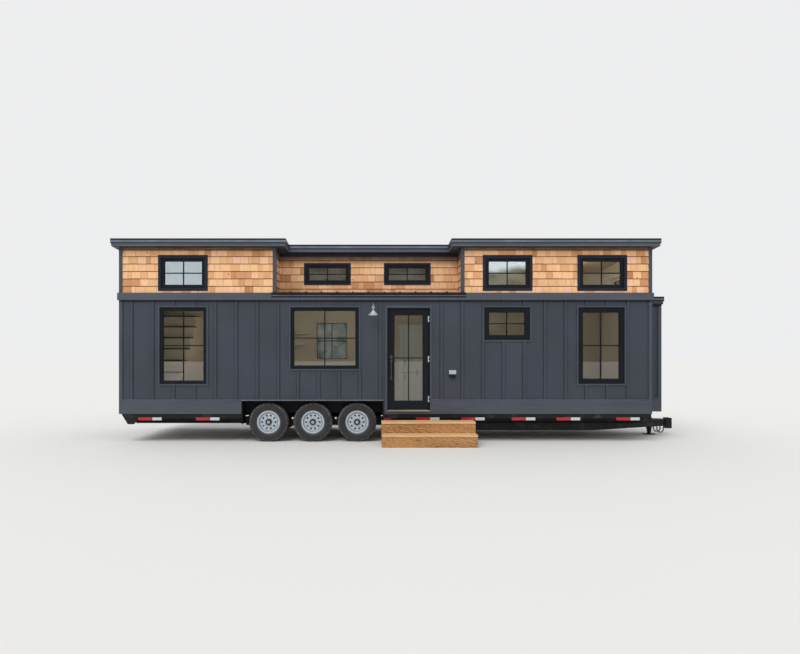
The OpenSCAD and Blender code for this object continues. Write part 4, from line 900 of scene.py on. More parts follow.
def walls():
    depth = BACK_Y - HOUSE_Y
    span = HOUSE_END - HOUSE_X
    returns = notch_ends()
    return {
        "front": Wall((HOUSE_X, HOUSE_Y), (1, 0), span),
        "back": Wall((HOUSE_END, BACK_Y), (-1, 0), span),
        "left": Wall((LEFT_WALL_X, BACK_Y), (0, -1), depth),
        "right": Wall((RIGHT_WALL_X, HOUSE_Y), (0, 1), depth),
        "notch": Wall((returns[0], NOTCH_Y), (1, 0), returns[1] - returns[0]),
        "notch_left": Wall((returns[0], HOUSE_Y), (0, 1), NOTCH_Y - HOUSE_Y),
        "notch_right": Wall((returns[1], NOTCH_Y), (0, -1), NOTCH_Y - HOUSE_Y),
    }


def notch_ends():
    """The two ends of the notch, from the ledge roof's trim less a corner board."""
    low, high = solid_boxes("corner_boards")[0]
    corner = high.x - low.x
    low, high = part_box("ledge_roof")
    return low.x + corner, high.x - corner


def patches(wall, *nodes):
    """What the solids of some nodes cover of a wall."""
    found = [wall.patch(box) for node in nodes for box in solid_boxes(node)]
    return [p for p in found if p]


def open_spans(low, high, blocked, smallest=0.01):
    """What is left of low to high outside the blocked spans."""
    spans, start = [], low
    for a, b in sorted(blocked):
        if a > start:
            spans.append((start, min(a, high)))
        start = max(start, b)
    if start < high:
        spans.append((start, high))
    return [(a, b) for a, b in spans if b - a > smallest]


def batten_places(name, wall, gap):
    """Middles of a wall's battens along it: three runs of panels on the front, and evenly elsewhere."""
    if name == "front":
        runs = [(0.239, 0.4076, 8), (3.477, 0.4005, 5), (6.270, 0.4026, 10)]
    else:
        count = int(wall.u_end / gap)
        runs = [((wall.u_end - (count - 1) * gap) / 2, gap, count)]
    return [first + step * i for first, step, count in runs for i in range(count)]


class TINYHOUSE_OT_frame_finishes(bpy.types.Operator):
    """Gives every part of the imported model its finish"""

    bl_idname = "tiny_house.frame_finishes"
    bl_label = "Frame finishes"

    def execute(self, context):
        for name, nodes in CAD_FINISHES.items():
            for node in nodes:
                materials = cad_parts[node].data.materials
                materials.clear()
                materials.append(finish(name))
        return {"FINISHED"}


class TINYHOUSE_OT_battens(bpy.types.Operator):
    """Nails the battens over the siding's joints, cut round the openings, with strips of painted shadow beside
    them
    """

    bl_idname = "tiny_house.battens"
    bl_label = "Siding battens"

    def execute(self, context):
        sizes = settings().siding
        faces = walls()
        shadow_t, eased = 0.0008, 0.0025
        for name in ("front", "back", "left", "right"):
            wall = faces[name]
            covered = patches(wall, "lower_casings", "door_casings", "corner_boards", "closet_walls",
                              "skirt_boards", "outlet_cover")
            bm, shadow_strips = bmesh.new(), bmesh.new()
            for u in batten_places(name, wall, sizes.batten_gap):
                u0, u1 = u - sizes.batten_w / 2, u + sizes.batten_w / 2
                blocked = [(z0, z1) for a, b, z0, z1 in covered if a < u1 and b > u0]
                for z0, z1 in open_spans(SKIRT_TOP, BAND_Z, blocked):
                    add_box(bm, (u0, -sizes.batten_t, z0), (u1, 0, z1))
                    # Painted shadow: a dark strip along each side of the batten
                    for side in (u0 - sizes.shadow_w, u1):
                        add_box(shadow_strips, (side, -shadow_t, z0), (side + sizes.shadow_w, 0, z1))
            bevel_edges(bm, eased, 1)
            bmesh.ops.transform(bm, matrix=wall.matrix, verts=bm.verts)
            make_piece(f"battens_{name}", bm, "siding_paint")
            bmesh.ops.transform(shadow_strips, matrix=wall.matrix, verts=shadow_strips.verts)
            make_piece(f"batten_seams_{name}", shadow_strips, "seam_caulk")
        return {"FINISHED"}


def roof_edges():
    """Lowest heights of the roof deck at its front and at its back edge."""
    points = [v.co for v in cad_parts["roof_deck"].data.vertices]
    return [min(p.z for p in points if abs(p.y - edge.y) < 0.001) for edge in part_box("roof_deck")]


def roof_fall():
    """How much the roof falls for each metre towards the back."""
    low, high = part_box("roof_deck")
    front, back = roof_edges()
    return (front - back) / (high.y - low.y)


def roof_under_at(wall, u):
    """Height of the roof's underside over a place on a wall's face."""
    y = (wall.origin + wall.along * u).y
    return roof_edges()[0] - roof_fall() * (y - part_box("roof_deck")[0].y)


def cut_rectangle(u0, u1, z0, z1, covered, smallest):
    """What is left of a rectangle outside the covered ones."""
    left = [(u0, u1, z0, z1)]
    for a, b, low, high in covered:
        rest = []
        for c0, c1, d0, d1 in left:
            if c1 <= a or c0 >= b or d1 <= low or d0 >= high:
                rest.append((c0, c1, d0, d1))
                continue
            rest += [(c0, a, d0, d1), (b, c1, d0, d1)]
            m0, m1 = max(c0, a), min(c1, b)
            rest += [(m0, m1, d0, low), (m0, m1, high, d1)]
        left = [r for r in rest if min(r[1] - r[0], r[3] - r[2]) > smallest]
    return left


def add_shingle(bm, u0, u1, z0, z1, base_z, head_z, sizes, lift):
    """Adds one wedge of cedar, thick at its butt, between two heights of its course."""

    def thickness(z):
        share = (z - base_z) / (head_z - base_z)
        return sizes.butt_t + (sizes.head_t - sizes.butt_t) * share + lift

    for v in bmesh.ops.create_cube(bm, size=1.0)["verts"]:
        z = z1 if v.co.z > 0 else z0
        v.co = Vector((u1 if v.co.x > 0 else u0, -thickness(z) if v.co.y < 0 else 0.0, z))


# Face layers of the shingles: the tone, the painted shade (kept in the gap layer) and the grain's shift
SHINGLE_LAYERS = ("tone", "gap", "grain_shift")


class TINYHOUSE_OT_shingles(bpy.types.Operator):
    """Lays the cedar shingles in courses on the upper walls, cut round the windows"""

    bl_idname = "tiny_house.shingles"
    bl_label = "Cedar shingles"

    def execute(self, context):
        sizes = settings().shingles
        for number, (name, wall) in enumerate(walls().items()):
            self.lay(name, wall, sizes, random.Random(sizes.seed + number))
        return {"FINISHED"}

    def covered(self, name, wall):
        """What windows, trim and the notch take from a wall, as patch gives it."""
        covered = patches(wall, "upper_casings", "window_frames", "corner_boards")
        over_all = 10
        if name == "front":
            start, end = notch_ends()
            covered.append((start - HOUSE_X, end - HOUSE_X, 0, over_all))
        # No shingles from the notch's frieze up, so above it the sheathing's painted shade shows
        if name == "notch":
            frieze = min(solid_boxes("upper_casings"), key=lambda box: box[1].z - box[0].z)
            covered.append((-1, wall.u_end + 1, frieze[0].z, over_all))
        return covered

    def lay(self, name, wall, sizes, rng):
        """Lays one wall's courses, from the lowest up and each along the wall."""
        covered = self.covered(name, wall)
        lap, narrowest, smallest = 0.004, 0.012, 0.006
        uneven, loose = 0.002, 0.0015
        floor_z = BAND_TOP - 0.02
        top = max(roof_under_at(wall, 0), roof_under_at(wall, wall.u_end))
        bm = bmesh.new()
        for layer in SHINGLE_LAYERS:
            bm.faces.layers.float.new(layer)
        base = sizes.first_z
        while base < top:
            u = -rng.uniform(0, sizes.wide)
            while u < wall.u_end:
                width = rng.uniform(sizes.narrow, sizes.wide)
                drop = rng.uniform(-uneven, uneven)
                lift = rng.uniform(0, loose)
                shares = (rng.betavariate(2.6, 1.9), rng.random())
                u0, u1 = max(u, 0), min(u + width - sizes.joint, wall.u_end)
                limit = roof_under_at(wall, (u0 + u1) / 2) + lap
                z0 = max(base + drop, floor_z)
                z1 = min(base + sizes.exposure + lap, limit)
                u += width
                if u1 - u0 >= narrowest and z1 - z0 >= smallest:
                    for left in cut_rectangle(u0, u1, z0, z1, covered, smallest):
                        self.shingle(bm, left, base, sizes, lift, shares)
            base += sizes.exposure
        bmesh.ops.transform(bm, matrix=wall.matrix, verts=bm.verts)
        make_piece(f"shingles_{name}", bm, "cedar_shingles")

    def shingle(self, bm, left, base, sizes, lift, shares):
        """Adds what is left of one shingle: its lit part, and the strip of painted shade under the next course.
        """
        u0, u1, low, high = left
        tone, gap, shift = [bm.faces.layers.float[layer] for layer in SHINGLE_LAYERS]
        end, thinnest = base + sizes.exposure, 0.0005
        head = max(low, min(high, end - sizes.shade_h))
        for z0, z1, painted_shade in ((low, head, 0.0), (head, high, sizes.shade_share)):
            if z1 - z0 <= thinnest:
                continue
            before = len(bm.faces)
            add_shingle(bm, u0, u1, z0, z1, base, end, sizes, lift)
            bm.faces.ensure_lookup_table()
            for face in bm.faces[before:]:
                face[tone], face[shift] = shares
                # Painted shade, kept in the gap layer: full on the butts' undersides, the side share on the
                # sides, the shade share on the strip under the next course
                side = sizes.side_share if abs(face.normal.x) > 0.5 else painted_shade
                face[gap] = 1.0 if face.normal.z < -0.5 else max(side, painted_shade)


def glass_frames(node):
    """Each pane of a glass node: its box and the index of the axis through it."""
    return [(low, high, 0 if high.x - low.x < high.y - low.y else 1) for low, high in solid_boxes(node)]


def on_pane(through, depth, u, z):
    """A place on a pane: depth runs through the glass, u along it."""
    return Vector((depth, u, z) if through == 0 else (u, depth, z))


def add_bars(bm, pane_box, sizes):
    """Adds the cross of bars on both faces of one pane."""
    low, high, through = pane_box
    start, end = low[1 - through], high[1 - through]
    u, z = (start + end) / 2, (low.z + high.z) / 2
    half, sunk = sizes.bar_w / 2, 0.001
    for d0, d1 in ((low[through] - sizes.bar_t, low[through] + sunk),
                   (high[through] - sunk, high[through] + sizes.bar_t)):
        for u0, u1, z0, z1 in ((u - half, u + half, low.z, high.z), (start, u - half, z - half, z + half),
                               (u + half, end, z - half, z + half)):
            add_box(bm, on_pane(through, d0, u0, z0), on_pane(through, d1, u1, z1))


def add_beads(bm, pane_box, sizes):
    """Adds the beads round one pane on both faces, each a bar with its inner edge thinned to a slope."""
    low, high, through = pane_box
    wide, thick, thin = sizes.bead_w, sizes.bead_t, sizes.bead_t * 0.3
    for side, face in ((-1, low[through]), (1, high[through])):
        rings = []
        for inset, rise in ((0, 0), (0, thick), (wide, thin), (wide, 0)):
            u0, u1 = low[1 - through] + inset, high[1 - through] - inset
            z0, z1 = low.z + inset, high.z - inset
            depth = face + side * rise
            rings.append([bm.verts.new(on_pane(through, depth, u, z))
                          for u, z in ((u0, z0), (u1, z0), (u1, z1), (u0, z1))])
        join_rings(bm, rings)


class TINYHOUSE_OT_glazing(bpy.types.Operator):
    """Sets the panes, their beads and their bars in the windows and the door"""

    bl_idname = "tiny_house.glazing"
    bl_label = "Glazing"

    def execute(self, context):
        sizes = settings().glazing
        panes = glass_frames("window_glass")
        for storey, kept in (("lower", [p for p in panes if p[0].z < BAND_TOP]),
                             ("upper", [p for p in panes if p[0].z >= BAND_TOP])):
            bm = bmesh.new()
            for low, high, through in kept:
                spare = on_pane(through, (high[through] - low[through] - sizes.pane_t) / 2, 0, 0)
                add_box(bm, low + spare, high - spare)
            make_piece(f"{storey}_panes", bm, f"{storey}_glass", replaces=["window_glass"])
        self.dress("window", panes, sizes, HOUSE)
        self.dress("door", glass_frames("door_glass"), sizes, DOOR)
        return {"FINISHED"}

    def dress(self, name, panes, sizes, body):
        bars, beads = bmesh.new(), bmesh.new()
        for box in panes:
            add_bars(bars, box, sizes)
            add_beads(beads, box, sizes)
        bevel_edges(bars, 0.0015, 1)
        bmesh.ops.recalc_face_normals(beads, faces=beads.faces)
        make_piece(f"{name}_bars", bars, "frame_paint", body)
        make_piece(f"{name}_beads", beads, "frame_paint", body)


def wheel_side(node):
    """(centre, radius, half width, outward) of a tyre, from its box."""
    low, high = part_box(node)
    centre = (low + high) / 2
    outward = -1 if centre.y < MIDDLE_Y else 1
    return centre, (high.z - low.z) / 2, (high.y - low.y) / 2, outward


class TINYHOUSE_OT_tyres(bpy.types.Operator):
    """Makes the tyres, with their beads, sidewall ribs, shoulder blocks and tread grooves"""

    bl_idname = "tiny_house.tyres"
    bl_label = "Tyres"

    def execute(self, context):
        for side, i in WHEELS:
            self.make(f"tyre_{side}_{i}", f"{side}_wheel_{i}", f"rubber_{side}_{i}")
        return {"FINISHED"}

    def make(self, node, body, name):
        centre, outer, half, outward = wheel_side(node)
        bm = bmesh.new()
        verts = [bm.verts.new((r, share * half, 0)) for r, share in self.profile(node, centre, outer)]
        edges = [bm.edges.new(pair) for pair in zip(verts, verts[1:] + verts[:1])]
        steps = 180
        bmesh.ops.spin(bm, geom=verts + edges, axis=(0, 1, 0), cent=(0, 0, 0), dvec=(0, 0, 0),
                       angle=math.tau, steps=steps, use_merge=True, use_duplicate=False)
        bmesh.ops.remove_doubles(bm, verts=bm.verts, dist=1e-5)
        self.cut_shoulders(bm, outer, half, steps)
        bmesh.ops.recalc_face_normals(bm, faces=bm.faces)
        bmesh.ops.scale(bm, vec=(1, -outward, 1), verts=bm.verts)
        if outward > 0:
            bmesh.ops.reverse_faces(bm, faces=bm.faces)
        bmesh.ops.translate(bm, vec=centre, verts=bm.verts)
        make_piece(name, bm, "rubber", body, smooth=True, replaces=[node])

    def profile(self, node, centre, outer):
        """(radius, share of the half width) round the tyre's section: sidewall, tread, and mirrored."""
        points = [v.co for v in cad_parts[node].data.vertices]
        seat = min(math.hypot(p.x - centre.x, p.z - centre.z) for p in points) + 0.001
        bead = [(0, 0.70), (0.006, 0.735), (0.020, 0.745), (0.024, 0.79), (0.028, 0.80), (0.045, 0.885),
                (0.070, 0.955), (0.075, 0.972), (0.080, 0.972), (0.085, 0.965)]
        shoulder = [(0.062, 0.985), (0.052, 0.995), (0.046, 0.975), (0.034, 0.955), (0.018, 0.915),
                    (0.006, 0.85), (0.0015, 0.76)]
        tread = [(0, 0.57), (0.008, 0.565), (0.008, 0.475), (0, 0.47),
                 (0, 0.22), (0.008, 0.215), (0.008, 0.125), (0, 0.12)]
        half_profile = [(seat + rise, share) for rise, share in bead]
        half_profile += [(outer - drop, share) for drop, share in shoulder + tread]
        return half_profile + [(r, -share) for r, share in reversed(half_profile)]

    def cut_shoulders(self, bm, outer, half, steps):
        """Sinks two of every five rows of corners on the shoulder, which leaves a ring of blocks."""
        start, start_share, depth = outer - 0.040, 0.62, 0.007
        for v in bm.verts:
            radius = math.hypot(v.co.x, v.co.z)
            share = abs(v.co.y) / half
            if radius < start or share < start_share:
                continue
            row = round(math.atan2(v.co.z, v.co.x) / math.tau * steps) % steps
            if row % 5 in (0, 1):
                v.co.x *= (radius - depth) / radius
                v.co.z *= (radius - depth) / radius
                v.co.y *= 1 - 0.02 * (share > 0.9)


def facing(spot, out):
    """A place whose z points out of the front, where out is -1, or out of the back, where it is 1."""
    return Matrix.Translation(spot) @ Matrix.Rotation(math.radians(-90 * out), 4, "X")


class TINYHOUSE_OT_wheel_fittings(bpy.types.Operator):
    """Adds the lug nuts, black rings of painted shade round the vents and the cap's dot on each wheel"""

    bl_idname = "tiny_house.wheel_fittings"
    bl_label = "Wheel fittings"

    def execute(self, context):
        sizes = settings().running_gear
        for side, i in WHEELS:
            low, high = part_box(f"wheel_{side}_{i}")
            cap, _, _, outward = wheel_side(f"tyre_{side}_{i}")
            cap.y = low.y if outward < 0 else high.y
            self.nuts(f"{side}_wheel_{i}", cap, outward, sizes)
            self.blacks(f"{side}_wheel_{i}", cap, outward, sizes)
        return {"FINISHED"}

    def circle(self, cap, outward, radius, sunk, count, first):
        """Evenly spaced places on a circle round the tip of the hub's cap, sunk behind it."""
        for i in range(count):
            angle = math.tau * (i + first) / count
            spot = cap + Vector((radius * math.cos(angle), -outward * sunk, radius * math.sin(angle)))
            yield facing(spot, outward)

    def nuts(self, body, cap, outward, sizes):
        bm = bmesh.new()
        sunk, washer_t, nut_h, stud_h = 0.041, 0.004, 0.020, 0.005
        for place in self.circle(cap, outward, sizes.nut_ring, sunk, sizes.nuts, 0.5):
            add_disc(bm, place, sizes.nut_r * 1.25, washer_t, 20)
            add_disc(bm, place, sizes.nut_r, nut_h, 6, start=washer_t)
            add_disc(bm, place, sizes.nut_r * 0.8, stud_h, 16, sizes.nut_r * 0.35, washer_t + nut_h)
        make_piece(f"lug_nuts_{body}", bm, "galvanised", body)

    def blacks(self, body, cap, outward, sizes):
        bm = bmesh.new()
        dot_r, dot_top, dot_t, rim = 0.011, 0.009, 0.003, 0.004
        add_disc(bm, facing(cap - Vector((0, outward * 0.001, 0)), outward), dot_r, dot_t, 24, dot_top)
        # Black rings round the vents: painted shade that makes the dark holes look wider
        for place in self.circle(cap, outward, sizes.vent_ring, sizes.vent_depth, sizes.vents, 0):
            add_ring(bm, place, sizes.vent_r, sizes.vent_r + rim, 0.003)
        make_piece(f"wheel_blacks_{body}", bm, "black_hardware", body)


# Metres along the house, from its left corner
TAPE_STARTS = (0.366, 1.491, 5.772, 6.653, 7.638, 8.510, 9.671)
BOLT_PLATES = (3.327, 4.193)
MARKER_ENDS = (5.151, 5.287)
# The same with a height over the ground, and for a light its share of the power too
KITCHEN_PULLS = ((5.660, 1.517), (5.660, 1.217), (5.931, 1.314), (3.10, 0.80), (3.55, 0.80),
                 (4.40, 0.80), (4.85, 0.80), (5.30, 0.80))
ROOM_LIGHTS = ((1.9, 2.3, 0.66), (4.3, 2.4, 0.5), (6.9, 2.3, 0.2), (9.4, 2.3, 0.12), (9.2, 3.45, 1.2))
# Heights over the ground of the hinges' middles
HINGE_HEIGHTS = (0.837, 1.615, 2.393)


class TINYHOUSE_OT_chassis_fittings(bpy.types.Operator):
    """Adds the reflecting tape, side markers, bolts and safety chains of the trailer frame"""

    bl_idname = "tiny_house.chassis_fittings"
    bl_label = "Chassis fittings"

    def execute(self, context):
        self.tape()
        self.bolts()
        self.side_markers()
        self.chains()
        return {"FINISHED"}

    def tape(self):
        """Lengths of red and white tape along the front rail, and again along the back one."""
        sizes = settings().running_gear
        low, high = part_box("side_rails")
        middle_z = (low.z + high.z) / 2 + 0.004
        z0, z1 = middle_z - sizes.tape_h / 2, middle_z + sizes.tape_h / 2
        proud, sunk = 0.0008, 0.0004
        red, white = bmesh.new(), bmesh.new()
        for start in TAPE_STARTS:
            x0 = at_x(start)
            x1 = x0 + sizes.tape_red
            x2 = x1 + sizes.tape_white
            for y0, y1 in ((low.y - proud, low.y + sunk), (high.y - sunk, high.y + proud)):
                add_box(red, (x0, y0, z0), (x1, y1, z1))
                add_box(white, (x1, y0, z0), (x2, y1, z1))
        make_piece("reflecting_tape_red", red, "tape_red")
        make_piece("reflecting_tape_white", white, "tape_white")

    def bolts(self):
        """Zinc bolt heads on small plates against the main beams, beside the wheels."""
        low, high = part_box("main_beams")
        plate_t, half_plate, drop = 0.006, 0.05, 0.030
        washer_r, washer_t, bolt_r, bolt_h = 0.020, 0.004, 0.015, 0.010
        bolts, plates = bmesh.new(), bmesh.new()
        for x in map(at_x, BOLT_PLATES):
            for face, out in ((low.y, -1), (high.y, 1)):
                y0, y1 = sorted((face, face + out * plate_t))
                add_box(plates, (x - half_plate, y0, low.z + 0.008), (x + half_plate, y1, high.z - 0.002))
                place = facing((x, face + out * plate_t, high.z - drop), out)
                add_disc(bolts, place, washer_r, washer_t)
                add_disc(bolts, place, bolt_r, bolt_h, 6, start=washer_t)
        make_piece("hanger_bolts", bolts, "plain_chrome")
        make_piece("bolt_plates", plates, "chassis_paint")

    def side_markers(self):
        """Red lenses under the rails, one on each side."""
        low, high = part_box("side_rails")
        rail_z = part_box("cross_members")[0].z
        depth, height = 0.020, 0.033
        x0, x1 = map(at_x, MARKER_ENDS)
        bm = bmesh.new()
        for y in (low.y, high.y - depth):
            add_box(bm, (x0, y, rail_z - height), (x1, y + depth, rail_z))
        bevel_edges(bm, 0.004)
        make_piece("side_markers", bm, "red_lens")

    def chains(self):
        """Two loops of chain that hang from the tongue's flanges."""
        wire = settings().running_gear.link_r
        for number, (low, high) in enumerate(solid_boxes("safety_chains")):
            half = (high.y - low.y) / 2
            loop = (high.x - low.x) / 2 - half
            middle = (low + high) / 2
            loop_z = low.z + half + loop
            turns = [math.pi * (1 + i / 24) for i in range(25)]
            xz = [(-loop, high.z)]
            xz += [(loop * math.cos(a), loop_z + loop * math.sin(a)) for a in turns]
            xz += [(loop, high.z)]
            bm = bmesh.new()
            self.links(bm, [Vector((middle.x + x, middle.y, z)) for x, z in xz], wire)
            bmesh.ops.recalc_face_normals(bm, faces=bm.faces)
            make_piece(f"chain_{number + 1}", bm, "chain_bronze", smooth=True,
                       replaces=["safety_chains"])

    def links(self, bm, points, wire):
        """Threads oval links along a line of points, each turned a quarter from the last."""
        total = sum((b - a).length for a, b in zip(points, points[1:]))
        pitch = wire * 5.2
        count = int(total / pitch)
        for n in range(count):
            spot, heading = place_along(points, (n + 0.5) * total / count)
            turn = heading.to_track_quat("X", "Z").to_matrix().to_4x4()
            quarter = Matrix.Rotation(math.radians(90 * (n % 2)), 4, "X")
            self.link(bm, Matrix.Translation(spot) @ turn @ quarter, wire, pitch)

    def link(self, bm, place, wire, pitch):
        """Bends one round wire into an oval."""
        sides, around = 6, 16
        straight, bend = pitch * 0.35, wire * 1.55
        rings = []
        for i in range(around):
            angle = math.tau * i / around
            out = Vector((math.cos(angle), math.sin(angle), 0))
            centre = bend * out + Vector((straight if out.x > 0 else -straight, 0, 0))
            turns = [math.tau * k / sides for k in range(sides)]
            rings.append([bm.verts.new(place @ (centre + wire * (out * math.cos(t) + UP * math.sin(t))))
                          for t in turns])
        join_rings(bm, rings)


def place_along(points, distance):
    """The place and heading at a distance along a line of points."""
    for a, b in zip(points, points[1:]):
        step = (b - a).length
        if distance <= step:
            return a.lerp(b, distance / step), (b - a).normalized()
        distance -= step
    return points[-1], (points[-1] - points[-2]).normalized()


class TINYHOUSE_OT_hems(bpy.types.Operator):
    """Adds the folded edges of the roof metal, the ledge, the closet roof and the wheel wells, light as painted
    highlight
    """

    bl_idname = "tiny_house.hems"
    bl_label = "Metal hems"
    lip_t = 0.0015

    def execute(self, context):
        bm = bmesh.new()
        self.roof(bm)
        self.ledge_and_closet(bm)
        self.wells(bm)
        make_piece("metal_hems", bm, "hem_metal")
        self.well_screws()
        return {"FINISHED"}

    def strip(self, bm, x0, x1, y, z0, z1):
        """Adds a strip over an edge that looks to the front."""
        proud, sunk = 0.002, 0.001
        add_box(bm, (x0, y - proud, z0), (x1, y + sunk, z1))

    def roof(self, bm):
        """Along the front and back edges of the drip edge, and along its edge over the notch."""
        low, high = max(solid_boxes("fascia"), key=lambda box: box[1].x - box[0].x)
        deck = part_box("roof_deck")[0]
        out = deck.x - low.x
        points = [v.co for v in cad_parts["roof_deck"].data.vertices]
        ends = sorted({round(p.x, 4) for p in points if p.y < deck.y + 0.001})
        cut_y = min(p.y for p in points if p.y > deck.y + 0.1)
        drop = 0.037
        for x0, x1, y in ((low.x, ends[1] + out, low.y), (ends[2] - out, high.x, low.y),
                          (ends[1] + out, ends[2] - out, cut_y - out)):
            top = high.z - roof_fall() * (y - low.y)
            self.strip(bm, x0, x1, y, top - drop, top)
        back = high.z - roof_fall() * (high.y - low.y)
        add_box(bm, (low.x, high.y - 0.001, back - drop), (high.x, high.y + 0.0005, back))

    def ledge_and_closet(self, bm):
        low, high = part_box("ledge_roof")
        self.strip(bm, low.x, high.x, low.y, low.z + 0.020, low.z + 0.030)
        low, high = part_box("closet_roof")
        self.strip(bm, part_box("belly_band")[1].x, high.x, low.y, high.z - 0.064, high.z - 0.034)

    def wells(self, bm):
        """A lip over the top of each wheel well, light as painted highlight."""
        below, above = 0.016, 0.002
        for low, high, lip, out in self.well_lips():
            y0, y1 = sorted((lip, lip - out * self.lip_t))
            add_box(bm, (low.x, y0, high.z - below), (high.x, y1, high.z + above))

    def well_screws(self):
        bm = bmesh.new()
        count, drop, head_r, head_h = 9, 0.007, 0.005, 0.002
        for low, high, lip, out in self.well_lips():
            for i in range(count):
                x = low.x + (high.x - low.x) * (i + 0.5) / count
                add_disc(bm, facing((x, lip, high.z - drop), out), head_r, head_h, 12)
        make_piece("well_screws", bm, "black_hardware")

    def well_lips(self):
        """(lowest corner, highest corner, y of the lip's face, which way it looks) of each well."""
        for low, high in solid_boxes("wheel_wells"):
            out = -1 if low.y < HOUSE_Y else 1
            yield low, high, (low.y if out < 0 else high.y) + out * self.lip_t, out


class TINYHOUSE_OT_kitchen(bpy.types.Operator):
    """Adds the pulls of the kitchen's cabinet doors"""

    bl_idname = "tiny_house.kitchen"
    bl_label = "Kitchen pulls"

    def execute(self, context):
        front = min(box[0].y for box in solid_boxes("kitchen_fittings"))
        bar_y, bar_t, half_w, half_h = front - 0.030, 0.008, 0.006, 0.07
        foot_y, foot_z, half = front - 0.023, 0.06, 0.005
        bm = bmesh.new()
        for along, z in KITCHEN_PULLS:
            x = at_x(along)
            add_box(bm, (x - half_w, bar_y, z - half_h), (x + half_w, bar_y + bar_t, z + half_h))
            for foot in (z - foot_z, z + foot_z):
                add_box(bm, (x - half, foot_y, foot - half), (x + half, front, foot + half))
        make_piece("kitchen_pulls", bm, "black_hardware")
        return {"FINISHED"}


class TINYHOUSE_OT_small_fittings(bpy.types.Operator):
    """Adds the lamp's bulb, and the barrels and screws of the door's hinges"""

    bl_idname = "tiny_house.small_fittings"
    bl_label = "Bulb, hinge barrels and screws"

    def execute(self, context):
        self.bulb()
        self.hinges()
        return {"FINISHED"}

    def bulb(self):
        low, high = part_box("wall_lamp")
        shade_r = (high.x - low.x) / 2
        bm = bmesh.new()
        bmesh.ops.create_uvsphere(bm, u_segments=24, v_segments=14, radius=0.032)
        centre = (low.x + shade_r, low.y + shade_r, low.z + 0.030)
        bmesh.ops.translate(bm, vec=centre, verts=bm.verts)
        make_piece("lamp_bulb", bm, "lamp_glow", smooth=True)

    def hinges(self):
        low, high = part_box("hinge_leaves")
        screws, barrels = bmesh.new(), bmesh.new()
        screw_x, screw_y, screw_z, screw_r, screw_h = high.x - 0.007, low.y + 0.012, 0.044, 0.0035, 0.0015
        pin_in, barrel_r, barrel_h = 0.008, 0.0085, 0.114
        for z in HINGE_HEIGHTS:
            for dz in (-screw_z, screw_z):
                add_disc(screws, facing((screw_x, screw_y, z + dz), -1), screw_r, screw_h, 16)
            foot = (low.x + pin_in, low.y + pin_in, z - barrel_h / 2)
            add_disc(barrels, Matrix.Translation(foot), barrel_r, barrel_h)
        make_piece("hinge_screws", screws, "brushed_steel")
        make_piece("hinge_barrels", barrels, "satin_nickel")


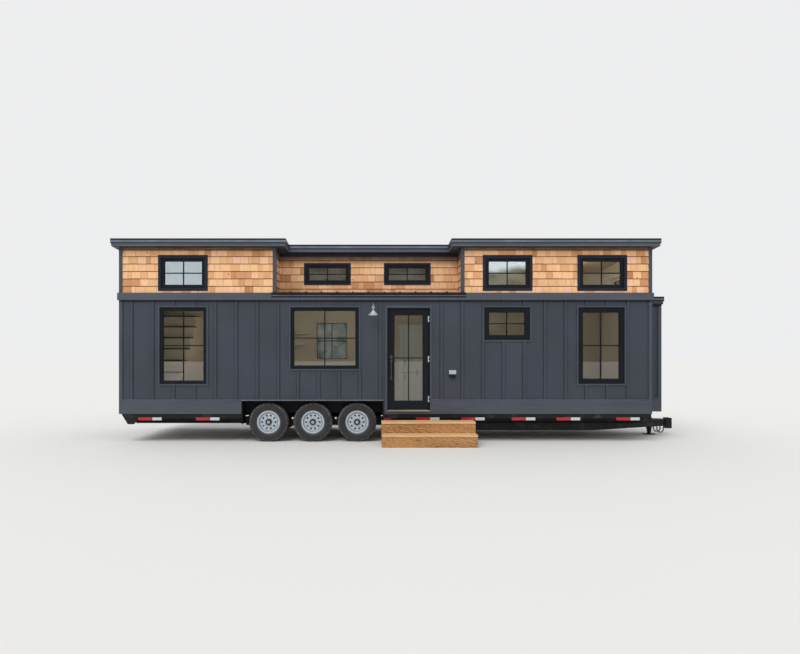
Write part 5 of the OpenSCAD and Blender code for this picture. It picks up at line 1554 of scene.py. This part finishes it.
class TINYHOUSE_OT_studio(bpy.types.Operator):
    """Lays the plain pale floor and sets the lights and the camera"""

    bl_idname = "tiny_house.studio"
    bl_label = "Studio"

    def execute(self, context):
        studio = settings().studio
        self.floor(studio)
        self.light(studio)
        self.room_lights(studio)
        self.camera(studio)
        context.scene.view_settings.view_transform = "Standard"
        return {"FINISHED"}

    def floor(self, studio):
        bm = bmesh.new()
        bmesh.ops.create_circle(bm, cap_ends=True, segments=96, radius=220)
        bmesh.ops.translate(bm, vec=(0, 0, -0.002), verts=bm.verts)
        floor = add_mesh("studio_floor", bm)
        f = Finish("studio_floor", studio.floor, 0.9)
        f.set("Base Color", f.mix(f.noise(f.coords(), 0.6), shade(studio.floor, 0.985), studio.floor))
        floor.data.materials.append(f.material)

    def light(self, studio):
        """Soft light from all round, a plain backdrop, what shiny faces mirror, and a soft sun."""
        world = bpy.data.worlds.new("studio")
        bpy.context.scene.world = world
        world.use_nodes = True
        f = WorldNodes(world.node_tree)
        f.tree.nodes.clear()
        path = f.node("ShaderNodeLightPath").outputs
        seen = f.math("MAXIMUM", path["Is Camera Ray"], path["Is Transmission Ray"])
        sky = f.background((1, 1, 1), studio.sky)
        plain = f.mix_shader(seen, sky, f.background((0.985, 0.99, 1), studio.backdrop))
        shown = f.mix_shader(path["Is Glossy Ray"], plain, self.surroundings(f))
        f.node("ShaderNodeOutputWorld", Surface=shown)
        lamp = bpy.data.lights.new("main_light", "SUN")
        lamp.energy = studio.sun
        lamp.angle = math.radians(35)
        sun = add_object("main_light", lamp)
        sun.rotation_euler = Vector((0.45, 0.75, -1.1)).to_track_quat("-Z", "Y").to_euler()

    def surroundings(self, f):
        """A dark, uneven band along the horizon, with a low part and a pale part, under a pale sky."""
        direction = f.node("ShaderNodeTexCoord").outputs["Generated"]
        parts = f.node("ShaderNodeSeparateXYZ", Vector=direction).outputs
        across = parts["X"]
        low_part = f.product(f.between(across, -0.36, -0.33), f.between(across, -0.21, -0.24))
        pale_part = f.product(f.between(across, 0.15, 0.175), f.between(across, 0.29, 0.265))
        top = f.math("SUBTRACT", 0.20, f.math("MULTIPLY", low_part, 0.14))
        top = f.math("SUBTRACT", top, f.math("MULTIPLY", pale_part, 0.082))
        uneven = f.math("MULTIPLY", f.noise(direction, 14.0, detail=4), 0.03)
        rise = f.math("SUBTRACT", f.math("SUBTRACT", parts["Z"], top), uneven)
        mottle = f.between(f.noise(direction, 40.0, detail=5), 0.35, 0.7)
        dark = f.mix(mottle, (0.05, 0.055, 0.05), (0.17, 0.18, 0.16))
        pale = f.mix(mottle, (0.10, 0.12, 0.09), (0.32, 0.36, 0.29))
        band = f.background(f.mix(pale_part, dark, pale))
        air = f.background((0.80, 0.93, 1.0), f.between(pale_part, 0.0, 1.0, 1.25, 1.7))
        return f.mix_shader(f.between(rise, 0.0, 0.012), band, air)

    def room_lights(self, studio):
        """Warm lamps in the rooms that don't show themselves."""
        for number, (x, z, power) in enumerate(ROOM_LIGHTS):
            lamp = bpy.data.lights.new(f"room_light_{number + 1}", "POINT")
            lamp.energy = studio.rooms * power
            lamp.color = (1.0, 0.96, 0.88)
            lamp.shadow_soft_size = 0.12
            placed = add_object(lamp.name, lamp)
            placed.location = (at_x(x), MIDDLE_Y, z)
            placed.visible_camera = False
            placed.visible_glossy = False
            placed.visible_transmission = False

    def camera(self, studio):
        data = bpy.data.cameras.new("camera")
        data.lens = studio.lens
        data.sensor_width = 36
        data.shift_x = studio.shift
        data.shift_y = studio.shift
        data.clip_end = 600
        camera = add_object("camera", data)
        camera.location = (at_x(studio.along), HOUSE_Y - studio.distance, studio.height)
        camera.rotation_euler = (math.radians(90), 0, 0)
        bpy.context.scene.camera = camera


OPERATORS = (
    TINYHOUSE_OT_frame_finishes,
    TINYHOUSE_OT_battens,
    TINYHOUSE_OT_shingles,
    TINYHOUSE_OT_glazing,
    TINYHOUSE_OT_tyres,
    TINYHOUSE_OT_wheel_fittings,
    TINYHOUSE_OT_chassis_fittings,
    TINYHOUSE_OT_hems,
    TINYHOUSE_OT_kitchen,
    TINYHOUSE_OT_small_fittings,
    TINYHOUSE_OT_studio,
)


class TINYHOUSE_PT_panel(bpy.types.Panel):
    """Lists the settings and the steps of the tiny house"""

    bl_label = "Tiny House"
    bl_idname = "TINYHOUSE_PT_panel"
    bl_space_type = "VIEW_3D"
    bl_region_type = "UI"
    bl_category = "Tiny House"

    def draw(self, context):
        for name, group in GROUPS.items():
            box = self.layout.box()
            box.label(text=name.replace("_", " ").capitalize())
            for prop in group.__annotations__:
                box.prop(getattr(settings(), name), prop)
        for operator in OPERATORS:
            self.layout.operator(operator.bl_idname)


CLASSES = (*GROUPS.values(), HouseSettings, *OPERATORS, TINYHOUSE_PT_panel)


def register():
    for cls in CLASSES:
        bpy.utils.register_class(cls)
    bpy.types.Scene.tiny_house = PointerProperty(type=HouseSettings)


def unregister():
    del bpy.types.Scene.tiny_house
    for cls in reversed(CLASSES):
        bpy.utils.unregister_class(cls)


def main():
    register()
    for operator in OPERATORS:
        group, step = operator.bl_idname.split(".")
        getattr(getattr(bpy.ops, group), step)()


if __name__ == "__main__":
    main()
